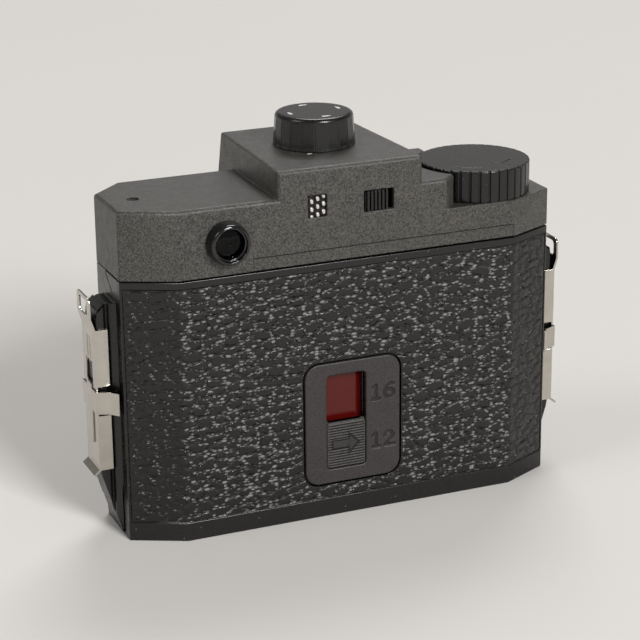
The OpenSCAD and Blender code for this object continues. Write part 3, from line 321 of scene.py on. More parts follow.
# ABS from a polished mould: near black, semi-gloss, with slow flow waves, dust and a trace of handling
MOULDED_ABS = Finish(
    "moulded_abs", "#070707", "#0c0b0b", (0.22, 0.34),
    (Relief(Making.MOULDED, 5.0, 0.012), Relief(Making.SPARK_ERODED, 0.5, 0.004)), scuffs=0.12, dust=0.5)
# The same ABS from a spark-eroded mould, with a fine sharp grain; its grey is partly the plastic's own and
# partly painted sheen of the grain, and the grain carries a painted sparkle
ERODED_ABS = Finish(
    "spark_eroded_abs", "#373632", "#3f3d39", (0.36, 0.48),
    (Relief(Making.MOULDED, 7.0, 0.02), Relief(Making.SPARK_ERODED, 0.7, 0.16)),
    scuffs=0.06, dust=0.3, painted_sparkle=0.75)
# Leather-patterned ABS: smooth dark islands, and rows of beads in the creases between them; the creases carry
# a painted shade and the beads' tops a painted highlight
GRAINED_ABS = Finish(
    "leather_patterned_abs", "#090707", "#110d0d", (0.2, 0.32),
    (Relief(Making.SPARK_ERODED, 0.5, 0.03), Relief(Making.BEADED, 1.2, 0.6)),
    blotch=4.0, scuffs=0.1, dust=0.4, painted_shade_colour="#020202", bead_highlight="#827e7b")
# Plate and slide moulded with a fine matt grain; sunk strokes get painted shade and the finest grains a
# painted sparkle
MATT_ABS = Finish(
    "fine_matt_abs", "#262323", "#302c2b", (0.36, 0.48), (Relief(Making.SPARK_ERODED, 0.6, 0.09),),
    scuffs=0.05, painted_shade_colour="#0b0909", painted_sparkle=0.4)
# The slide's pad: the same ABS painted a little paler as a painted highlight on its ribs, with painted shade
# in its grooves and round its arrow
SLIDE_ABS = Finish(
    "slide_abs_painted_highlight", "#3d3b39", "#454341", (0.34, 0.46), (Relief(Making.SPARK_ERODED, 0.6, 0.06),),
    blotch=4.0, scuffs=0.1, painted_shade_colour="#0d0a0a", painted_sparkle=0.4)
# Controls that fingers touch: dark ABS with a silky polish and faint flow waves, and a faint painted shade in
# grooves, engravings and pits
CONTROL_ABS = Finish(
    "control_abs", "#080707", "#0e0c0c", (0.2, 0.3),
    (Relief(Making.SPARK_ERODED, 0.6, 0.003), Relief(Making.MOULDED, 6.0, 0.006)),
    blotch=5.0, scuffs=0.1, painted_shade_colour="#060606", dust=0.3)
POLISHED_ABS = Finish(
    "polished_abs", "#080808", "#0c0c0c", (0.08, 0.16), (Relief(Making.MOULDED, 3.0, 0.006),), coat=0.3)
# Blackened inner mouldings that must not reflect light
DULL_ABS = Finish(
    "dull_inner_abs", "#0a0a0a", "#101010", (0.6, 0.75), (Relief(Making.SPARK_ERODED, 0.5, 0.04),))
# Bright nickel over spring steel, with faint rolling marks
NICKEL = Finish(
    "nickel_plated_steel", "#cfcac2", "#aaa49b", (0.14, 0.26),
    (Relief(Making.BRUSHED_UP, 0.35, 0.002), Relief(Making.MOULDED, 6.0, 0.045)),
    blotch=6.0, metallic=1.0, scuffs=0.08)
ZINC = Finish(
    "zinc_plated_steel", "#a8a8a4", "#8f8f8c", (0.3, 0.45), (Relief(Making.BRUSHED_UP, 0.3, 0.006),),
    metallic=1.0, scuffs=0.1)
BLACK_STEEL = Finish(
    "blackened_steel", "#2a2a2c", "#1d1d1f", (0.35, 0.5), (Relief(Making.BRUSHED_UP, 0.3, 0.005),),
    metallic=1.0)
# Brass of the tripod bush, with the tool's rings
BRASS = Finish(
    "machined_brass", "#b99a52", "#a88942", (0.22, 0.36), (Relief(Making.TURNED, 0.5, 0.01),), metallic=1.0)
BRASS_LEAF = Finish(
    "brass_leaf", "#c4a45c", "#a98a48", (0.25, 0.4), (Relief(Making.BRUSHED_UP, 0.3, 0.004),), metallic=1.0)
# Mirror sheet round the flash tube
MIRROR = Finish(
    "mirror_sheet", "#dcdcda", "#cfcfcd", (0.05, 0.12), (Relief(Making.MOULDED, 3.0, 0.01),), metallic=1.0)
RED_ACRYLIC = Finish(
    "red_acrylic", "#520c08", "#4a0a07", (0.06, 0.12), (Relief(Making.MOULDED, 4.0, 0.006),), ior=1.4)
CLEAR_ACRYLIC = Finish(
    "clear_acrylic", "#eef2f2", "#e6ecec", (0.02, 0.05), (Relief(Making.MOULDED, 5.0, 0.002),),
    ior=1.49, clear=1.0)
# Small frosted lenses of the ready window, each with a pale painted highlight on one side and painted shade
# over the rest and the gaps
FROSTED_ACRYLIC = Finish(
    "frosted_acrylic", "#dcdcd6", "#bdbdb6", (0.06, 0.14), (Relief(Making.MOULDED, 0.8, 0.01),),
    ior=1.49, clear=0.25, painted_shade_colour="#1c1111")
# Eye lens, its clear glass tinted grey as painted shade, for the darkness of the blackened tube behind it
SHADED_EYE_LENS = Finish(
    "eye_lens_tinted_as_shade", "#3c3e42", "#34363a", (0.02, 0.04), (Relief(Making.MOULDED, 5.0, 0.002),),
    ior=1.25, clear=1.0)
# Glass of the flash tube and neon lamp
LAMP_GLASS = Finish("lamp_glass", "#e9e4dc", "#d9b9a0", (0.03, 0.06), ior=1.52, clear=0.8)
RED_FOIL = Finish("red_foil", "#c81e1a", "#b01713", (0.1, 0.18), clear=0.7)
YELLOW_FOIL = Finish("yellow_foil", "#e8c418", "#d8b410", (0.1, 0.18), clear=0.7)
BLUE_FOIL = Finish("blue_foil", "#1c34c4", "#162aa8", (0.1, 0.18), clear=0.7)
FOAM = Finish("light_seal_foam", "#232222", "#1a1a1a", (0.85, 0.95), (Relief(Making.CELLS, 0.4, 0.15),))
# Phenolic board with a waxy face
BOARD = Finish(
    "phenolic_board", "#7d5a2c", "#6b4a22", (0.35, 0.5), (Relief(Making.MOULDED, 1.2, 0.02),), blotch=3.0)
SLEEVE = Finish("shrink_sleeve", "#1d2433", "#252c3c", (0.25, 0.4), (Relief(Making.MOULDED, 2.0, 0.03),))
COPPER = Finish(
    "enamelled_copper", "#9a5a26", "#7c431a", (0.25, 0.4), (Relief(Making.WOUND, 0.35, 0.08),), coat=0.4)
WIRE = Finish("wire_sleeve", "#8c1c1c", "#761414", (0.35, 0.5), (Relief(Making.MOULDED, 1.0, 0.02),))
CELL = Finish(
    "cell_sleeve", "#1f3a2c", "#284636", (0.22, 0.35), (Relief(Making.MOULDED, 3.0, 0.01),), coat=0.3)
MARK_PAINT = Finish(
    "mark_paint", "#d9d8d2", "#c4c2bb", (0.45, 0.6), (Relief(Making.MOULDED, 0.4, 0.02),), blotch=1.0)
# Matt seamless studio paper
PAPER = Finish(
    "studio_paper", "#d6d3cf", "#d9d6d2", (0.85, 0.95), (Relief(Making.MOULDED, 30.0, 0.05),), blotch=300.0)

CAD_FINISHES: dict[str, Finish] = {
    node: finish
    for finish, nodes in (
        (MOULDED_ABS, "front_body back_cover lens_housing lens_cell"),
        (ERODED_ABS, "top_cover"),
        (MATT_ABS, "window_plate counter_slider lens_bezel"),
        (CONTROL_ABS, "flash_switch filter_dial winding_knob focus_ring"),
        (CONTROL_ABS, "shutter_lever aperture_lever time_switch"),
        (POLISHED_ABS, "eyepiece_ring"),
        (DULL_ABS, "finder_tunnel filter_drum takeup_spool film_mask"),
        (NICKEL, "clip_left clip_right clip_spring_left clip_spring_right"),
        (ZINC, "winding_shaft ratchet_wheel ratchet_pawl spool_pins shutter_plate shutter_spring"),
        (BLACK_STEEL, "shutter_blade cover_screws housing_screws"),
        (BRASS, "tripod_bush"),
        (BRASS_LEAF, "sync_contact battery_contacts"),
        (MIRROR, "flash_reflector"),
        (RED_ACRYLIC, "red_window"),
        (CLEAR_ACRYLIC, "finder_front_lens flash_window lens_element"),
        (FROSTED_ACRYLIC, "ready_window"),
        (SHADED_EYE_LENS, "eyepiece_lens"),
        (LAMP_GLASS, "ready_lamp flash_tube"),
        (RED_FOIL, "filter_red"),
        (YELLOW_FOIL, "filter_yellow"),
        (BLUE_FOIL, "filter_blue"),
        (FOAM, "window_foam"),
        (BOARD, "circuit_board"),
        (SLEEVE, "flash_capacitor"),
        (COPPER, "flash_transformer"),
        (WIRE, "flash_wires"),
        (CELL, "battery_left battery_right"),
    )
    for node in nodes.split()
}

# Edges

# Angle in degrees from which an edge counts as sharp, and up to which faces count as one flat
SHARP_ANGLE = 28.0
FLAT_ANGLE = 0.6
# Length in mm from which an edge counts as long
LONG_EDGE = 4.0


@dataclass(frozen=True)
class Rounding:
    """Rounded edges of a moulding or pressing, in mm.

    Attributes:
        radius: radius of its sharp edges.
        top: larger radius of its long outer edges above top_z, or 0.
        top_z: height from which that larger radius is used.
        merge: distance within which corners count as one.
    """

    radius: float
    top: float = 0.0
    top_z: float = 0.0
    merge: float = 0.001

    @property
    def widest(self) -> float:
        """The larger of the two radii."""
        return max(self.radius, self.top)


ROUNDINGS: dict[str, Rounding] = {
    "front_body": Rounding(0.4), "top_cover": Rounding(0.35, 1.25, 98.0, 0.12), "back_cover": Rounding(0.3),
    "flash_switch": Rounding(0.12), "lens_housing": Rounding(0.4), "shutter_lever": Rounding(0.3),
    "aperture_lever": Rounding(0.25), "time_switch": Rounding(0.25), "focus_ring": Rounding(0.3),
    "lens_cell": Rounding(0.3), "clip_left": Rounding(0.12), "clip_right": Rounding(0.12),
    "clip_spring_left": Rounding(0.1), "clip_spring_right": Rounding(0.1), "lens_bezel": Rounding(0.2),
}


def edge_weights(rounding: Rounding) -> bpy.types.NodeTree:
    """Builds the node group that tells the bevel how far to round each edge.

    An edge counts where its faces meet at more than the sharp angle. Its weight is the small radius over
    the widest one, or 1 on long outer edges above the given height, and shrinks where the edge is shorter
    than twice the radius.

    Args:
        rounding: the radii.

    Returns:
        The geometry node group.
    """
    tree = bpy.data.node_groups.new("edge_weights", "GeometryNodeTree")
    for way in ("INPUT", "OUTPUT"):
        tree.interface.new_socket("Geometry", in_out=way, socket_type="NodeSocketGeometry")
    nodes = Nodes(tree)
    mesh = nodes.add("NodeGroupInput").outputs[0]
    bare = {"Geometry": mesh, "Name": "custom_normal"}
    mesh = nodes.add("GeometryNodeRemoveAttribute", bare).outputs[0]
    for domain in ("FACE", "EDGE"):
        smooth = {"Geometry": mesh, "Shade Smooth": True}
        mesh = nodes.add("GeometryNodeSetShadeSmooth", smooth, domain=domain).outputs[0]
    bend = nodes.add("GeometryNodeInputMeshEdgeAngle").outputs
    ends = nodes.add("GeometryNodeInputMeshEdgeVertices").outputs
    ends = {0: ends["Position 1"], 1: ends["Position 2"]}
    length = nodes.add("ShaderNodeVectorMath", ends, operation="DISTANCE").outputs["Value"]
    place = nodes.parts(nodes.add("GeometryNodeInputPosition").outputs[0])
    sharp = nodes.math("GREATER_THAN", bend["Unsigned Angle"], math.radians(SHARP_ANGLE))
    outer = nodes.math("GREATER_THAN", bend["Signed Angle"], 0.0)
    high = nodes.math("GREATER_THAN", place["Z"], rounding.top_z * MM)
    long = nodes.math("GREATER_THAN", length, LONG_EDGE * MM)
    small = rounding.radius / rounding.widest
    large = nodes.math("MULTIPLY", nodes.math("MULTIPLY", outer, high), long)
    weight = nodes.math("MULTIPLY_ADD", large, 1.0 - small if rounding.top else 0.0, small)
    short = nodes.math("MINIMUM", nodes.math("DIVIDE", length, 2.0 * rounding.radius * MM), 1.0)
    weight = nodes.math("MULTIPLY", nodes.math("MULTIPLY", weight, sharp), short)
    stored = {"Geometry": mesh, "Name": "bevel_weight_edge", "Value": weight}
    store = nodes.add("GeometryNodeStoreNamedAttribute", stored, data_type="FLOAT", domain="EDGE")
    nodes.add("NodeGroupOutput", {0: store.outputs[0]})
    return tree


def add_modifier(obj: bpy.types.Object, kind: str, **settings) -> None:
    """Adds one modifier to an object, with its settings."""
    modifier = obj.modifiers.new(kind.lower(), kind)
    for name, value in settings.items():
        setattr(modifier, name, value)


# Meshes


def grid_faces(rows: int, columns: int, wrap_rows: bool = False, wrap_columns: bool = False) -> Array:
    """Quads of a grid numbered row by row, whose last row or column can join the first."""
    i = np.arange(rows if wrap_rows else rows - 1)[:, None]
    j = np.arange(columns if wrap_columns else columns - 1)[None, :]
    i2, j2 = (i + 1) % rows, (j + 1) % columns
    corners = [i * columns + j, i * columns + j2, i2 * columns + j2, i2 * columns + j]
    return np.stack([np.broadcast_to(c, (i.size, j.size)) for c in corners], axis=-1).reshape(-1, 4)


def smoothstep(low: float, high: float, x: Array) -> Array:
    """Goes from 0 at low to 1 at high along 3t^2 - 2t^3."""
    t = np.clip((x - low) / (high - low), 0.0, 1.0)
    return t * t * (3.0 - 2.0 * t)


def polar(radius: float, degrees: float) -> Pair:
    """Place at a radius and an angle round the origin."""
    return (radius * math.cos(math.radians(degrees)), radius * math.sin(math.radians(degrees)))


def full_turn(count: int) -> Array:
    """Angles all round, evenly spaced."""
    return np.linspace(0, TURN, count, endpoint=False)


def places(x: Array, y: Array, z: Array) -> Array:
    """Puts three grids of coordinates together, one place to a row."""
    return np.stack([x, y, z], axis=-1).reshape(-1, 3)


def rounded_path(points: list[Pair], radii: list[float], steps: int = 5) -> Array:
    """Path through the points with each corner replaced by a small parabola.

    The parabola leaves the path one radius before the corner and joins it one radius after, and its middle
    control point is the corner.

    Args:
        points: the corners, the first and last one included.
        radii: one radius for each corner, 0 for the ends.
        steps: points on each parabola.

    Returns:
        The points of the path, one row each.
    """
    p = np.array(points, float)
    r = np.array(radii, float)[:, None]
    before = np.roll(p, 1, axis=0) - p
    after = np.roll(p, -1, axis=0) - p
    a = p + before * (r / np.maximum(np.linalg.norm(before, axis=1, keepdims=True), 1e-9))
    b = p + after * (r / np.maximum(np.linalg.norm(after, axis=1, keepdims=True), 1e-9))
    t = np.linspace(0.0, 1.0, steps)[None, :, None]
    curve = (1 - t) ** 2 * a[:, None] + 2 * t * (1 - t) * p[:, None] + t**2 * b[:, None]
    flat = curve.reshape(-1, 2)
    keep = np.r_[True, np.linalg.norm(np.diff(flat, axis=0), axis=1) > 1e-6]
    return flat[keep]


@dataclass(frozen=True)
class RoundedBox:
    """A rectangle with round corners in X and Z: its centre, its size and the radius of its corners."""

    centre: Pair
    size: Pair
    corner: float

    def distance(self, x: Array, z: Array) -> Array:
        """Distance of places to the outline, negative inside it."""
        qx = np.abs(x - self.centre[0]) - self.size[0] / 2 + self.corner
        qz = np.abs(z - self.centre[1]) - self.size[1] / 2 + self.corner
        outside = np.hypot(np.maximum(qx, 0), np.maximum(qz, 0))
        return outside + np.minimum(np.maximum(qx, qz), 0) - self.corner

    def outline(self, count: int) -> Array:
        """Places round the outline, count to each corner, which the straight sides join."""
        turn = np.radians(np.tile(np.linspace(0, 90, count), 4) + np.repeat([0, 90, 180, 270], count))
        corner = np.repeat([[1, 1], [-1, 1], [-1, -1], [1, -1]], count, axis=0)
        bend = self.corner * np.stack([np.cos(turn), np.sin(turn)], axis=-1)
        return np.array(self.centre) + corner * (np.array(self.size) / 2 - self.corner) + bend


def stroke_distance(x: Array, z: Array, strokes: list[list[Pair]]) -> Array:
    """Distance from each place to the nearest of some pen strokes, each a chain of straight bits.

    The nearest place on a bit is the foot of the perpendicular, held between the bit's two ends.
    """
    a = np.array([p for s in strokes for p in s[:-1]], float)
    b = np.array([p for s in strokes for p in s[1:]], float)
    d = b - a
    place = np.stack([x.ravel(), z.ravel()], axis=-1)[:, None]
    t = np.clip(((place - a) * d).sum(-1) / np.maximum((d * d).sum(-1), 1e-12), 0.0, 1.0)
    return np.linalg.norm(place - a - t[..., None] * d, axis=-1).min(axis=1).reshape(x.shape)


def make_mesh(name: str, points: Array, faces: Array) -> bpy.types.Mesh:
    """Makes a mesh from places in mm, three to a row, and the point numbers of its quads."""
    mesh = bpy.data.meshes.new(name)
    mesh.vertices.add(len(points))
    mesh.vertices.foreach_set("co", (points * MM).astype(np.float32).ravel())
    mesh.loops.add(faces.size)
    mesh.loops.foreach_set("vertex_index", faces.astype(np.int32).ravel())
    mesh.polygons.add(len(faces))
    mesh.polygons.foreach_set("loop_start", np.arange(0, faces.size, faces.shape[1], dtype=np.int32))
    mesh.update(calc_edges=True)
    mesh.validate()
    return mesh


def add_object(name: str, data: bpy.types.ID) -> bpy.types.Object:
    """Puts a mesh, lamp or camera into the scene."""
    obj = bpy.data.objects.new(name, data)
    bpy.context.scene.collection.objects.link(obj)
    return obj


@dataclass
class Workshop:
    """Makes meshes and materials, and hands each finished piece to the frame."""

    frame: dict
    materials: dict[str, bpy.types.Material] = field(default_factory=dict)

    def material(self, finish: Finish) -> bpy.types.Material:
        """The material of a finish, built the first time it is asked for."""
        if finish.name not in self.materials:
            self.materials[finish.name] = build_material(finish)
        return self.materials[finish.name]

    def piece(
        self, name: str, points: Array, faces: Array, finish: Finish, body: str, slot: str,
        replaces: tuple[str, ...] = (), weld: bool = True, shade_mask: Array | None = None,
    ) -> bpy.types.Object:
        """Turns points and faces into a smooth piece that rides on a body.

        Args:
            name: the piece's name.
            points: places in mm, three to a row.
            faces: point numbers of each quad.
            finish: its finish.
            body: the body that it rides on.
            slot: the record's material slot; not used.
            replaces: CAD nodes that it stands for.
            weld: whether points in one place are merged and the faces turned outwards.
            shade_mask: for each point, how much of the finish's painted shade colour shows there.

        Returns:
            The new object.
        """
        mesh = make_mesh(name, points, faces)
        if shade_mask is not None:
            layer = mesh.attributes.new("shade_mask", "FLOAT", "POINT")
            layer.data.foreach_set("value", shade_mask.astype(np.float32).ravel())
        if weld:
            work = bmesh.new()
            work.from_mesh(mesh)
            bmesh.ops.remove_doubles(work, verts=work.verts, dist=1e-7)
            bmesh.ops.recalc_face_normals(work, faces=work.faces)
            work.to_mesh(mesh)
            work.free()
        mesh.polygons.foreach_set("use_smooth", np.ones(len(mesh.polygons), bool))
        mesh.materials.append(self.material(finish))
        obj = add_object(name, mesh)
        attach(obj, body)
        if replaces:
            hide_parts(*replaces)
        LOG.info("%s: %d points on %s", name, len(mesh.vertices), body)
        return obj

    def dress_cad(self) -> None:
        """Gives every CAD node its finish, and rounds the edges of those that have a radius.

        The loose triangles are welded, flat faces joined, sharp edges rounded, and the shading weighted by
        face size, so that flat faces stay flat up to the rounding.
        """
        for name, obj in self.frame["nodes"].items():
            material = self.material(CAD_FINISHES[name])
            if not obj.material_slots:
                obj.data.materials.append(material)
            for slot in obj.material_slots:
                slot.material = material
            rounding = ROUNDINGS.get(name)
            if rounding:
                add_modifier(obj, "WELD", merge_threshold=rounding.merge * MM)
                flat = math.radians(FLAT_ANGLE)
                add_modifier(obj, "DECIMATE", decimate_type="DISSOLVE", angle_limit=flat)
                add_modifier(obj, "NODES", node_group=edge_weights(rounding))
                add_modifier(obj, "BEVEL", width=rounding.widest * MM, segments=3, limit_method="WEIGHT",
                             use_clamp_overlap=False)
                add_modifier(obj, "WEIGHTED_NORMAL", keep_sharp=False)
            LOG.info("%s: %s", name, CAD_FINISHES[name].name)


def swept_profile(profile: Array, angles: Array, inward: Array) -> tuple[Array, Array, Array]:
    """Repeats a profile at each angle, drawn towards the axis, with both places of its points across it."""
    swept = np.broadcast_to(profile, (angles.size, *profile.shape)).copy()
    swept[..., 0] -= inward
    return swept, swept[..., 0] * np.cos(angles)[:, None], swept[..., 0] * np.sin(angles)[:, None]


def engraved(x: Array, y: Array, band: Array, strokes: list[list[Pair]], half: Pair) -> Array:
    """Depth from 0 to 1 of strokes in a band of profile points, from the half widths of floor and mouth."""
    cut = np.zeros(x.shape)
    cut[:, band] = 1 - smoothstep(*half, stroke_distance(x[:, band], y[:, band], strokes))
    return cut


def turned_points(profile: Array, angles: Array, centre: Triple, up: bool = True) -> Array:
    """Surface of revolution round +Z, or round +Y if not up.

    A profile point (r, h) at angle a goes to the centre plus r cos a and r sin a across the axis and h
    along it. There is one profile for all angles, or one for each.
    """
    p = np.broadcast_to(profile, (angles.size, *profile.shape[-2:]))
    across, aside = p[..., 0] * np.cos(angles)[:, None], p[..., 0] * np.sin(angles)[:, None]
    return places(across, *((aside, p[..., 1]) if up else (p[..., 1], aside))) + np.array(centre)


def closed_block(x: Array, y: Array, z: Array, back: float) -> tuple[Array, Array]:
    """Closes a worked front face, whose outermost points are repeated at the back and in its middle."""
    px, pz = (np.pad(np.pad(v, 1, mode="edge"), 1, constant_values=float(v.mean())) for v in (x, z))
    py = np.pad(y, 2, constant_values=back)
    return places(px, py, pz), grid_faces(*px.shape)


# The camera's own pieces


@dataclass
class LeatherPanel:
    """Leather-patterned sheet of the back, bent over both chamfers, with a hole for the window plate."""

    body_half: float = 67.0
    back_y: float = 20.0
    chamfer: Pair = (15.2, 7.4)
    bend: float = 0.8
    sunk: float = 0.33
    z_range: Pair = (5.85, 75.85)
    x_end: float = 66.1
    corner: float = 1.8
    step: float = 0.335
    snap_reach: float = 0.18425
    cell: Pair = (5.0, 2.9)
    hole: RoundedBox = RoundedBox((-0.2, 28.95), (31.3, 38.7), 5.1)
    relief: float = 0.42
    seed_grid: int = 160

    def outline(self, s: Array) -> tuple[Array, Array, Array, Array]:
        """Runs along the back's outline.

        The heading turns from level to the chamfer's slope round the corner, and the place is the running
        sum of the heading.

        Args:
            s: distances along the outline, evenly spaced, with 0 in the middle.

        Returns:
            X, Y, and the two parts of the outward normal.
        """
        slope = math.atan2(self.chamfer[1], self.chamfer[0])
        corner = self.body_half - self.chamfer[0]
        turn = slope * smoothstep(corner - self.bend, corner + self.bend, np.abs(s)) * np.sign(s)
        ds = s[1] - s[0]
        x = np.cumsum(np.cos(turn)) * ds
        y = -np.cumsum(np.sin(turn)) * ds
        x -= (x[0] + x[-1]) / 2
        y += self.back_y - self.sunk - y[len(s) // 2]
        return x, y, np.sin(turn), np.cos(turn)

    def cells(self, u: Array, v: Array, seed: int) -> tuple[Array, Array, Array]:
        """Distances to the nearest and second nearest of scattered seeds, one seed in each unit square.

        Args:
            u: first coordinate, in cells.
            v: second coordinate, in cells.
            seed: start of the random numbers.

        Returns:
            Nearest distance, by how much the second nearest is farther, and the nearest seed's own random
            height.
        """
        rng = np.random.default_rng(seed)
        count = self.seed_grid
        jitter = rng.uniform(0.12, 0.88, (count, count, 2))
        height = rng.uniform(0.0, 1.0, (count, count))
        iu, iv = np.floor(u).astype(int), np.floor(v).astype(int)
        near, second, own = np.full(u.shape, 9.0), np.full(u.shape, 9.0), np.zeros(u.shape)
        for du in (-1, 0, 1):
            for dv in (-1, 0, 1):
                cu, cv = iu + du, iv + dv
                j = jitter[cu % count, cv % count]
                d = np.hypot(cu + j[..., 0] - u, cv + j[..., 1] - v)
                closer = d < near
                second = np.where(closer, near, np.minimum(second, d))
                own = np.where(closer, height[cu % count, cv % count], own)
                near = np.where(closer, d, near)
        return near, second - near, own

    def waves(self, u: Array, v: Array, seed: int) -> Array:
        """Slow warp from -1 to 1: a sum of six plane waves with random directions and phases."""
        rng = np.random.default_rng(seed)
        k = rng.normal(0, 1.0, (6, 2))
        phase = rng.uniform(0, TURN, 6)
        return np.sin(u[..., None] * k[:, 0] + v[..., None] * k[:, 1] + phase).mean(-1)

    def pattern(self, s: Array, z: Array) -> tuple[Array, Array]:
        """The leather pattern: broad low islands with creases between them.

        Islands stand where the second nearest seed is clearly farther than the nearest, each domed and at
        its own height, and a finer layer of the same kind roughens them. The crease is what they leave.

        Args:
            s: distance along the outline, in mm.
            z: height, in mm.

        Returns:
            Heights from 0 to 1, and how much of a crease each place is.
        """
        u = s / self.cell[0] + 0.35 * self.waves(s / 3.1, z / 2.4, 3) + 40
        v = z / self.cell[1] + 0.35 * self.waves(s / 2.7, z / 3.3, 4) + 10
        near, gap, own = self.cells(u, v, 11)
        island = smoothstep(0.05, 0.4, gap) * (1.0 - 0.4 * near**2) * (0.6 + 0.4 * own)
        near2, gap2, own2 = self.cells(u * 3.1 + 7, v * 3.0 + 3, 12)
        pebble = smoothstep(0.05, 0.5, gap2) * (1.0 - 0.6 * near2**2) * (0.4 + 0.6 * own2)
        crease = (1.0 - smoothstep(0.1, 0.42, gap)) * (0.72 + 0.28 * own2)
        return np.clip(0.66 * island + 0.34 * pebble, 0.0, 1.0), crease

    def snap(self, a: Array, b: Array, box: RoundedBox) -> tuple[Array, Array, Array]:
        """Draws the points nearest to a rounded rectangle onto its outline, along the distance's slope.

        Args:
            a: first coordinate.
            b: second coordinate.
            box: the rectangle.

        Returns:
            Both coordinates after it, and the distances before it.
        """
        d = box.distance(a, b)
        e = 0.01
        da = (box.distance(a + e, b) - d) / e
        db = (box.distance(a, b + e) - d) / e
        near = np.abs(d) < self.snap_reach
        return np.where(near, a - d * da, a), np.where(near, b - d * db, b), d

    def build(self, shop: Workshop) -> None:
        """Makes the panel, with its points near the rim and the hole drawn onto their outlines."""
        reach = self.body_half - self.chamfer[0]
        end = reach + (self.x_end - reach) * math.hypot(*self.chamfer) / self.chamfer[0]
        low, high = self.z_range
        s = np.linspace(-end, end, int(round(2 * end / self.step)) | 1)
        z = np.linspace(low, high, int(round((high - low) / self.step)))
        x, y, nx, ny = self.outline(s)
        gs, gz = np.meshgrid(s, z, indexing="ij")
        sheet = RoundedBox((0.0, (low + high) / 2), (2 * end, high - low), self.corner)
        gs, gz, rim = self.snap(gs, gz, sheet)
        gs, gz, d = self.snap(gs, gz, self.hole)
        edge = smoothstep(0.0, 0.7, np.minimum(np.maximum(-rim, 0), np.maximum(d, 0)))
        # Painted light: on the chamfers, which face away from the main lamp, the mask is weaker, so painted
        # highlights and shade there are fainter and the beads smaller.
        unlit_chamfer_dimming = 1.0 - 0.45 * smoothstep(reach - 1.0, reach + 1.0, np.abs(gs))
        height, crease = self.pattern(gs, gz)
        h = self.relief * (0.12 + 0.88 * height) * (0.25 + 0.75 * edge) - 0.02
        px, py = (np.interp(gs, s, p) + h * np.interp(gs, s, n) for p, n in ((x, nx), (y, ny)))
        faces = grid_faces(*gs.shape)
        away = ((d < -self.snap_reach) | (rim > self.snap_reach)).ravel()
        faces = faces[~away[faces].any(axis=1)][:, ::-1]
        used, number = np.unique(faces, return_inverse=True)
        points = places(px, py, gz)[used]
        # Through the mask, the creases get painted shade and the beads in them a painted highlight.
        shop.piece("leather_panel", points, number.reshape(faces.shape), GRAINED_ABS, "back", "back_black",
                   weld=False, shade_mask=(crease * edge * unlit_chamfer_dimming).ravel()[used])


def arc(cx: float, cz: float, rx: float, rz: float, start: float, end: float) -> list[Pair]:
    """Points along an elliptic arc, from start to end degrees."""
    a = np.radians(np.linspace(start, end, 14))
    return [(float(px), float(pz)) for px, pz in zip(cx + rx * np.cos(a), cz + rz * np.sin(a))]


# Strokes of the plain numerals in a box one unit high, as a pen would draw them
NUMERALS: dict[str, list[list[Pair]]] = {
    "1": [[(0.08, 0.8), (0.27, 0.91), (0.27, 0.09)], [(0.05, 0.07), (0.48, 0.07)]],
    "2": [arc(0.38, 0.67, 0.27, 0.25, 170, -35) + [(0.12, 0.09), (0.72, 0.09)]],
    "6": [arc(0.4, 0.32, 0.28, 0.24, 90, 450), arc(0.52, 0.33, 0.41, 0.58, 180, 72)],
}


